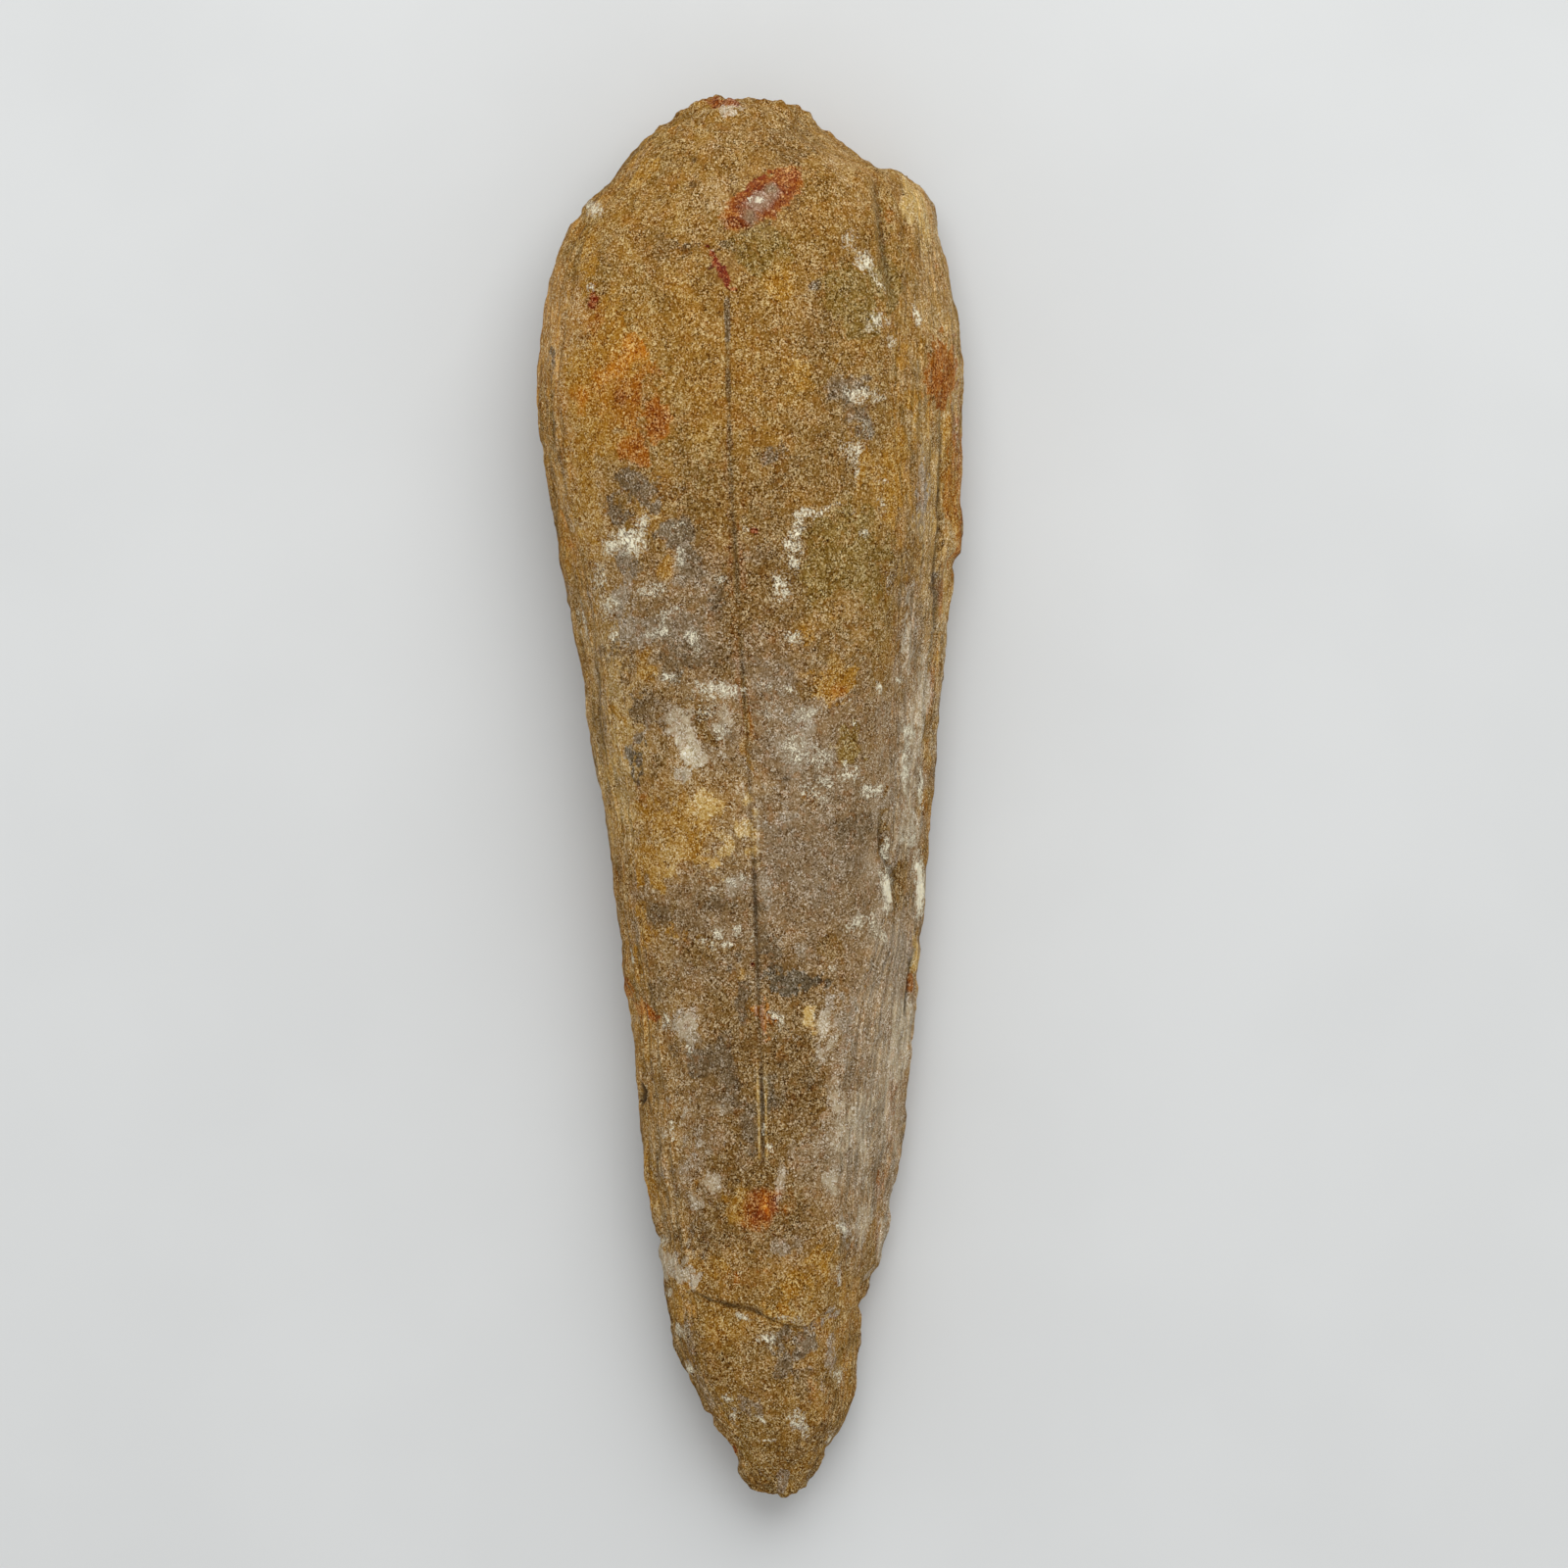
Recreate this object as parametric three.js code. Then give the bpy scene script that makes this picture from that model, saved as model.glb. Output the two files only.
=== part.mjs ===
// A dinosaur tooth fossil: one solid piece of mineral, lying on its flattened underside.
// Millimetres, +Z up. The broken root end is at +Y and the tip at -Y. The origin is under
// the middle of the tooth, on the surface that it rests on.

import * as THREE from 'three';
import { mergeVertices } from 'three/addons/utils/BufferGeometryUtils.js';

// Driving dimensions
const LENGTH = 200; // root break to tip
const WIDTH = 60.7; // across the widest part, a quarter of the way down from the root
const THICKNESS = 36; // resting face to crown

// How finely the solid is cut
const STEPS_PER_RIB = 3; // cross-sections from one rib to the next
const POINTS_AROUND = 44; // points around each cross-section

// The ribs run across the tooth from root to tip. A rib starts at a point of the left edge, ends
// at a point of the right edge, and says how high its crown and its belly stand. All in mm.
//       left x, y        right x, y      crown belly
const RIBS = [
  [[-2.6, 100.0], [-2.6, 100.0], 13.5, 12.5],
  [[-5.6, 99.8], [2.0, 99.3], 18.0, 8.5],
  [[-9.6, 98.8], [7.2, 98.7], 22.3, 5.0],
  [[-14.0, 95.4], [11.2, 95.3], 26.0, 2.6],
  [[-18.2, 91.6], [16.6, 91.8], 28.9, 1.2],
  [[-21.7, 86.6], [22.4, 89.6], 31.0, 0.4],
  [[-25.6, 82.2], [25.6, 85.2], 32.7, 0],
  [[-28.6, 75.0], [27.4, 78.5], 34.2, 0],
  [[-29.9, 66.0], [29.7, 67.5], 35.4, 0],
  [[-30.4, 57.0], [30.4, 57.5], 36.0, 0],
  [[-29.6, 48.5], [30.3, 48.0], 36.0, 0],
  [[-27.6, 39.0], [30.0, 37.6], 35.6, 0],
  [[-25.9, 29.0], [28.7, 28.0], 34.8, 0],
  [[-24.2, 19.0], [27.6, 18.5], 33.6, 0],
  [[-22.2, 9.0], [26.8, 8.5], 32.2, 0],
  [[-20.5, -1.5], [26.3, -1.5], 30.8, 0],
  [[-19.4, -12.0], [25.2, -11.5], 29.3, 0],
  [[-18.2, -22.5], [24.3, -22.0], 27.8, 0],
  [[-16.6, -33.5], [23.3, -33.0], 26.3, 0],
  [[-15.4, -44.5], [22.0, -44.0], 24.8, 0],
  [[-14.2, -55.5], [20.4, -55.5], 23.0, 0],
  [[-12.4, -65.5], [18.4, -65.8], 21.2, 0.2],
  [[-11.2, -73.0], [16.2, -72.8], 19.8, 0.7],
  [[-9.8, -80.5], [15.6, -79.8], 18.2, 1.4],
  [[-6.6, -87.0], [14.3, -86.6], 16.3, 2.3],
  [[-3.2, -92.2], [11.4, -92.4], 14.1, 3.4],
  [[-0.4, -96.6], [8.8, -97.0], 11.6, 4.8],
  [[2.0, -99.2], [6.6, -99.4], 9.4, 6.0],
  [[4.4, -100.0], [4.4, -100.0], 7.8, 7.2],
];

// The cross-section: how far across each point lies, from the left edge to the right, and how
// high, from the belly to the crown. The crown face is gently domed, the left side turns down
// sharply, and the right side is a long slope down to a low edge.
const SECTION = [
  [0, 0.4],
  [0.022, 0.57],
  [0.075, 0.73],
  [0.17, 0.86],
  [0.3, 0.955],
  [0.44, 1],
  [0.57, 0.99],
  [0.69, 0.945],
  [0.785, 0.86],
  [0.86, 0.71],
  [0.93, 0.5],
  [0.982, 0.32],
  [1, 0.2],
  [0.975, 0.1],
  [0.905, 0.035],
  [0.81, 0.005],
  [0.7, 0],
  [0.5, 0],
  [0.32, 0],
  [0.2, 0.02],
  [0.09, 0.09],
  [0.025, 0.22],
];

function curveThrough(points) {
  return new THREE.CatmullRomCurve3(points, false, 'centripetal');
}

// The surface at a place along the tooth, 0 at the root and 1 at the tip, and a place around its
// cross-section, 0 to 1 from the left edge over the crown and back under the belly.
function toothSurface() {
  const leftEdge = curveThrough(RIBS.map(([left]) => new THREE.Vector3(...left, 0)));
  const rightEdge = curveThrough(RIBS.map(([, right]) => new THREE.Vector3(...right, 0)));
  const heights = curveThrough(RIBS.map(([, , crown, belly], i) => new THREE.Vector3(i, crown, belly)));
  const section = new THREE.CatmullRomCurve3(
    SECTION.map(([across, up]) => new THREE.Vector3(across, up, 0)),
    true,
    'centripetal',
  );
  return (along, around) => {
    const { x: across, y: up } = section.getPointAt(around % 1);
    const { y: crown, z: belly } = heights.getPoint(along);
    const point = leftEdge.getPoint(along).lerp(rightEdge.getPoint(along), across);
    point.z = Math.max(belly + (crown - belly) * up, 0);
    return point;
  };
}

// Rings of points from root to tip, joined into one closed skin. The first and last rings have
// shrunk to short upright slits, which a fan of triangles closes.
function toothGeometry() {
  const surface = toothSurface();
  const rings = (RIBS.length - 1) * STEPS_PER_RIB;
  const positions = [];
  const triangles = [];
  for (let ring = 1; ring < rings; ring++) {
    for (let step = 0; step < POINTS_AROUND; step++) {
      positions.push(...surface(ring / rings, step / POINTS_AROUND));
    }
  }
  const at = (ring, step) => ring * POINTS_AROUND + (step % POINTS_AROUND);
  for (let ring = 0; ring < rings - 2; ring++) {
    for (let step = 0; step < POINTS_AROUND; step++) {
      const [a, b, c, d] = [at(ring, step), at(ring, step + 1), at(ring + 1, step + 1), at(ring + 1, step)];
      triangles.push(a, c, b, a, d, c);
    }
  }
  closeEnd(positions, triangles, surface(0, 0), (step) => at(0, step), false);
  closeEnd(positions, triangles, surface(1, 0), (step) => at(rings - 2, step), true);

  const geometry = new THREE.BufferGeometry();
  geometry.setAttribute('position', new THREE.Float32BufferAttribute(positions, 3));
  geometry.setIndex(triangles);
  return mergeVertices(geometry);
}

// A fan from one end point to the ring next to it.
function closeEnd(positions, triangles, point, ringVertex, atTip) {
  const middle = positions.length / 3;
  positions.push(...point);
  for (let step = 0; step < POINTS_AROUND; step++) {
    const [a, b] = [ringVertex(step), ringVertex(step + 1)];
    triangles.push(middle, ...(atTip ? [b, a] : [a, b]));
  }
}

// Brings the solid to its exact overall size, with the origin under its middle.
function fitToSize(geometry) {
  geometry.computeBoundingBox();
  const size = geometry.boundingBox.getSize(new THREE.Vector3());
  geometry.scale(WIDTH / size.x, LENGTH / size.y, THICKNESS / size.z);
  geometry.computeBoundingBox();
  const middle = geometry.boundingBox.getCenter(new THREE.Vector3());
  geometry.translate(-middle.x, -middle.y, -geometry.boundingBox.min.z);
  geometry.computeVertexNormals();
  return geometry;
}

const ironStainedStone = new THREE.MeshStandardMaterial({ color: 0x967346, roughness: 0.8, metalness: 0 });

const tooth = new THREE.Mesh(fitToSize(toothGeometry()), ironStainedStone);
tooth.name = 'tooth';

const fossil = new THREE.Group();
fossil.add(tooth);

export default fossil;
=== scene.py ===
"""A dinosaur tooth fossil: one long wedge of brown, iron-stained stone, lying on a pale table.

The tooth is carved and stained in millimetres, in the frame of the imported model: +X across its
grooved face, +Y from the tip to the broken root end, and +Z up.
"""

import math

import bmesh
import bpy
import numpy as np
from mathutils import Color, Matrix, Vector, noise


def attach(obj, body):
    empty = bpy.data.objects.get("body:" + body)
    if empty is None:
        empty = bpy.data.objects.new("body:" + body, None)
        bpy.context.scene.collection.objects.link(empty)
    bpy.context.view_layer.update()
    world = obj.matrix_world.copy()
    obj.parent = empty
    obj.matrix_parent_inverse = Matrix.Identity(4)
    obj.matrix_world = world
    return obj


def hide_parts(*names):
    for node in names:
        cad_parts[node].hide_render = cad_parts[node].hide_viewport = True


bl_info = {
    "name": "Dinosaur Tooth Fossil",
    "version": (1, 0, 0),
    "blender": (4, 5, 0),
    "location": "View3D > Sidebar > Fossil",
    "description": "Carves and stains a fossil tooth around its packed solid, and sets it on a table",
    "category": "Object",
}

MM = 0.001

# The stone's pattern, in features per mm.
GRAIN_SCALE = 5.4
SAND_SCALE = 6.0
SPECK_SCALE = 2.3
MOTTLE_SCALE = 1.0

# Each grain is a power of the stone's colour, and a higher power is darker. These are the power
# of an even grain, how much it changes from grain to grain, and the least that it may be.
STONE_POWER = 1.07
GRAIN_CONTRAST = 0.82
LEAST_POWER = 0.36

# How far the parts of that pattern stand up from the surface, in mm.
GRAIN_RELIEF = 0.07
MOTTLE_RELIEF = 0.05
CRUST_RELIEF = 0.08
STREAK_RELIEF = 0.2

# Colours of the painted shade in hollows and between the crust's grains, as the shader takes them.
CAVITY_DARK = (0.03, 0.02, 0.011, 1.0)
CRUST_GRAIN_SHADE = (0.1, 0.08, 0.05, 1.0)

# The stage, in metres. The camera is far off, so that the tooth's high and low parts show at
# nearly one scale.
CAMERA_PLACE = (4.84 * MM, 2.24 * MM, 2.0)
CAMERA_LENS = 318.8
CAMERA_SENSOR = 36.0
CAMERA_REACH = 20.0
LAMP_PLACE = (0.1, 0.6, 0.7)
TABLE_SIZE = 8.0

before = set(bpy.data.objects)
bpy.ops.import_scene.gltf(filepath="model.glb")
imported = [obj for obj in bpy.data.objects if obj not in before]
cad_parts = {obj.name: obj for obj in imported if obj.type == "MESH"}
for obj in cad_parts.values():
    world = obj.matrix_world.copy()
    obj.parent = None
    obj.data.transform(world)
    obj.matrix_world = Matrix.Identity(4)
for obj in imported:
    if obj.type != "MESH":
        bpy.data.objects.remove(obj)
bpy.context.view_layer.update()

# ---------------------------------------------------------------------------------------------
# Lines on the tooth, in mm, as (x, y) points seen from above
# ---------------------------------------------------------------------------------------------

# The fine groove down the middle of the face, from the root to the rust spot, and its open
# stretch, whose black inside is painted shade.
GROOVE = [
    (-3.3, 72), (-2.9, 54), (-2.5, 43), (-1.6, 27), (-0.4, 9.5), (0.2, -4), (0.8, -16),
    (1.1, -25), (1.6, -38), (1.8, -47), (1.9, -54),
]
CRACK = [(0.5, -8.6), (0.9, -11.5), (0.8, -14), (0.9, -17.2)]

# Where the layered right side starts to slope down, and how wide the layered left strip is.
LEFT_STRIP = 4.2
SHOULDER = [
    (21.5, 95), (20.5, 71), (19.5, 57), (20, 45), (20.5, 30), (20, 15), (19.4, 0), (18.8, -12),
    (17, -20), (14, -28), (12.4, -40), (12.4, -55), (12, -66), (12.6, -76), (10.5, -86), (8, -95),
]

# The trough between the face and the lobe at the root's right corner.
GULLY = [(17.6, 91), (18.7, 85), (19.4, 79), (20.3, 73.5), (21, 69)]

# The inner edge of the outermost layer on the right side, and the folds and thread near it.
OUTER_LAYER = [(27.2, 62), (27.6, 46), (27.3, 39.4), (26.6, 33), (26.6, 23), (25.9, 12)]
LOWER_FOLD = [(19, 0), (19.2, -7.4), (20.6, -10), (21.3, -15)]
CREVICE = [(22.9, -21), (23.0, -24), (22.5, -28), (21.9, -32.7)]
THREAD = [(19.3, 35), (20.8, 31), (20.1, 28)]

# A flake, a chip and a lobe along the left edge.
EDGE_FLAKE = [(-22, 22), (-21.4, 12), (-20.3, 6), (-20.4, 2.6)]
EDGE_CHIP = [(-15.6, -39.6), (-14.9, -41.7), (-15.2, -43), (-15.9, -44.4)]
EDGE_LOBE = [(-13.7, -46.5), (-12.7, -49.5), (-13.1, -51.5), (-13.0, -55.5), (-13.8, -58.8)]

# The healed break across the tooth near its tip, its deep part and the thread of mineral by it.
BREAK = [
    (-12.5, -69.5), (-8.5, -70), (-5.8, -71.4), (-2.3, -72.5), (1, -73.2), (2.5, -74),
    (5.5, -75.2), (8.4, -75.4), (10.2, -73.6), (13, -73), (16.5, -72.6),
]
BREAK_TROUGH = [(-5.8, -71.4), (-2.3, -72.4), (1, -73), (2.6, -73.9)]
BREAK_THREAD = [(-11.4, -71.2), (-7.8, -69.8), (-6.6, -70.4)]

# ---------------------------------------------------------------------------------------------
# Spots on the tooth, in mm. A turn is in degrees, anticlockwise from +Y.
# ---------------------------------------------------------------------------------------------

# Crystals that stand up along the break: x, y, radius.
CRYSTALS = [
    (-1.6, -73.3, 0.5), (-0.2, -73.9, 0.4), (1, -73.8, 0.45), (4.3, -73.9, 0.4),
    (6.5, -74.3, 0.4), (5.1, -75.5, 0.35), (7.2, -75.9, 0.4), (1.2, -76.9, 0.5),
    (2.6, -77.2, 0.75), (2.2, -78.1, 0.4), (3.5, -76.7, 0.35),
]

# Bites out of the outline: x, y, radius, depth.
EDGE_BITES = [
    (-12.3, -62.9, 1.3, 0.6), (16.8, -72.9, 1.6, 1.0), (11.6, -93.6, 1.3, 0.7), (29.5, 34, 1.8, 0.7),
    (-29.6, 50, 1.6, 0.4), (-5.8, -88.6, 1.3, 0.5), (-1.6, -94.6, 1.2, 0.5), (24.7, -25.5, 1.5, 0.4),
    (18.6, 91.2, 1.8, 0.7), (-24.8, 83.6, 1.6, 0.5),
]

# Low swellings of the edges, or dips where the height is below 0: x, y, half-width,
# half-length, turn, height.
SWELLINGS = [
    (-23.2, 86.2, 3, 3.5, -35, 0.5), (25.4, 86, 3, 4, 20, 0.5), (29.6, 66, 4, 8, 0, 0.6),
    (30.2, 37, 3, 5, 0, 0.7), (-22, 6, 4, 9, 5, 0.9), (-18.6, -14, 4, 12, 5, 0.3),
    (-16.2, -40, 4, 8, 4, 0.6), (-17.6, -26, 3, 3, 4, 0.5), (-14.8, -53, 4, 8, 4, 0.6),
    (-12.6, -68, 4, 9, 6, 0.45), (-8.6, -84, 3, 5, 25, -0.4), (25.2, -15, 3, 4, 3, 0.5),
    (21.6, -50, 4, 9, 5, 0.5), (13, -90, 4, 9, -30, 0.7), (17.4, -70, 3, 3, 8, -0.5),
    (-1.2, -97, 2.5, 3.5, 30, 1.3), (-10.6, 98.5, 2, 3, -60, -0.5), (9.4, 98, 2, 3, 40, -0.6),
]

# Pits: x, y, radius.
PITS = [
    (-8.2, 91.2, 0.7), (-8.2, 87.5, 0.8), (-9.2, 3.4, 0.5), (-7.4, 6.9, 0.3), (8.5, 6.7, 0.35),
    (1.8, 1.8, 0.35), (7.6, -0.4, 0.4), (9.2, 1, 0.4), (5, 2.9, 0.8), (1.9, -49.6, 0.35),
    (0.6, -8.9, 0.6), (-5.7, 75.5, 0.35),
]

# The rust nodule on the root: x, y, half-width, half-length, turn.
NODULE = (1.8, 85.2, 2.7, 6.4, -53)

# ---------------------------------------------------------------------------------------------
# How deeply the marks are cut and how far the lumps stand up, in mm
# ---------------------------------------------------------------------------------------------

CRACK_DEPTH = 0.6
GULLY_DEPTH = 0.9
BREAK_STEP = 0.28
BREAK_TROUGH_DEPTH = 0.55
BREAK_SEAM_DEPTH = 0.4
PIT_DEPTH = 0.3
GROOVE_THREAD_HEIGHT = 0.16
THREAD_HEIGHT = 0.25
BREAK_THREAD_HEIGHT = 0.3
CRYSTAL_HEIGHT = 0.35
NODULE_HEIGHT = 0.45

# How many worn layers each side shows, and how many streaks run across each.
RIGHT_LAYERS = 8
LEFT_LAYERS = 4
RIGHT_STREAKS = 9
LEFT_STREAKS = 4

# ---------------------------------------------------------------------------------------------
# Stains, as ovals in mm. Each list is laid in its order, the later stains over the earlier.
# ---------------------------------------------------------------------------------------------

# Broad washes in the bare stone: colour, x, y, half-width, half-length, turn, strength.
WASHES = [
    ("drab", 0, -5, 24, 34, 0, 0.7),
    ("drab", 10, -2, 12, 24, 0, 0.6),
    ("umber", 0, 36, 14, 14, 0, 0.5),
    ("drab", -8, 26, 16, 12, 0, 0.5),
    ("drab", 2, -50, 18, 20, 0, 0.6),
    # Pale buff of the outer right layers, made paler still as painted light on the shaded slope.
    ("buff", 26, 62, 4.5, 36, -1, 0.7),
    ("lilac", 22, 2, 4, 36, -6, 0.6),
    ("lilac", 17.5, -40, 6.5, 24, -4, 0.65),
    ("ochre", -18.6, -15, 2.4, 44, 6, 0.5),
    ("ochre", -11, -3, 9, 9, 0, 0.6),
    ("slate", 1, -38.5, 10, 7, 0, 0.6),
    ("olive", 14, 30, 8, 14, 0, 0.3),
    ("umber", -3, -80, 10, 6, 0, 0.3),
    ("umber", 3, -90, 14, 12, 0, 0.3),
    ("umber", 3, -36, 10, 16, 0, 0.85),
    ("umber", 3, 78, 15, 24, 0, 0.55),
    ("umber", 12, 52, 6, 12, 0, 0.65),
    # The cream and flame washes here are painted light on the steep left edge.
    ("cream", -27.5, 66, 3.5, 26, 4, 0.45),
    ("flame", -27.5, 66, 3.5, 26, 4, 0.2),
    ("buff", -20, 25, 4, 28, 6, 0.5),
    ("cream", -19.5, 8, 4, 16, 5, 0.65),
    ("buff", -11, 8, 6, 12, 0, 0.5),
    ("buff", -3, -2, 6, 9, 0, 0.3),
    ("umber", 4, 30, 5, 14, 0, 0.4),
    ("calcite", 12, -50, 5, 8, 0, 0.3),
    ("buff", -12.5, -42, 4, 20, 5, 0.35),
    ("ochre", -6, 66, 12, 10, 0, 0.4),
    ("ochre", 0, -68, 12, 10, 0, 0.35),
    # The cream and calcite washes here are painted light on the sloping right side.
    ("cream", 27.5, 46, 3, 44, -1, 0.35),
    ("calcite", 20, -35, 5, 22, -4, 0.3),
    ("buff", -13, -56, 3, 10, 4, 0.6),
    ("umber", 4, -75, 6, 7, 0, 0.5),
    ("ochre", 6, 84, 12, 14, 0, 0.3),
    ("umber", 2, 95, 8, 6, 0, 0.35),
    ("umber", 27, 14, 4, 6, 0, 0.4),
]

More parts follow.
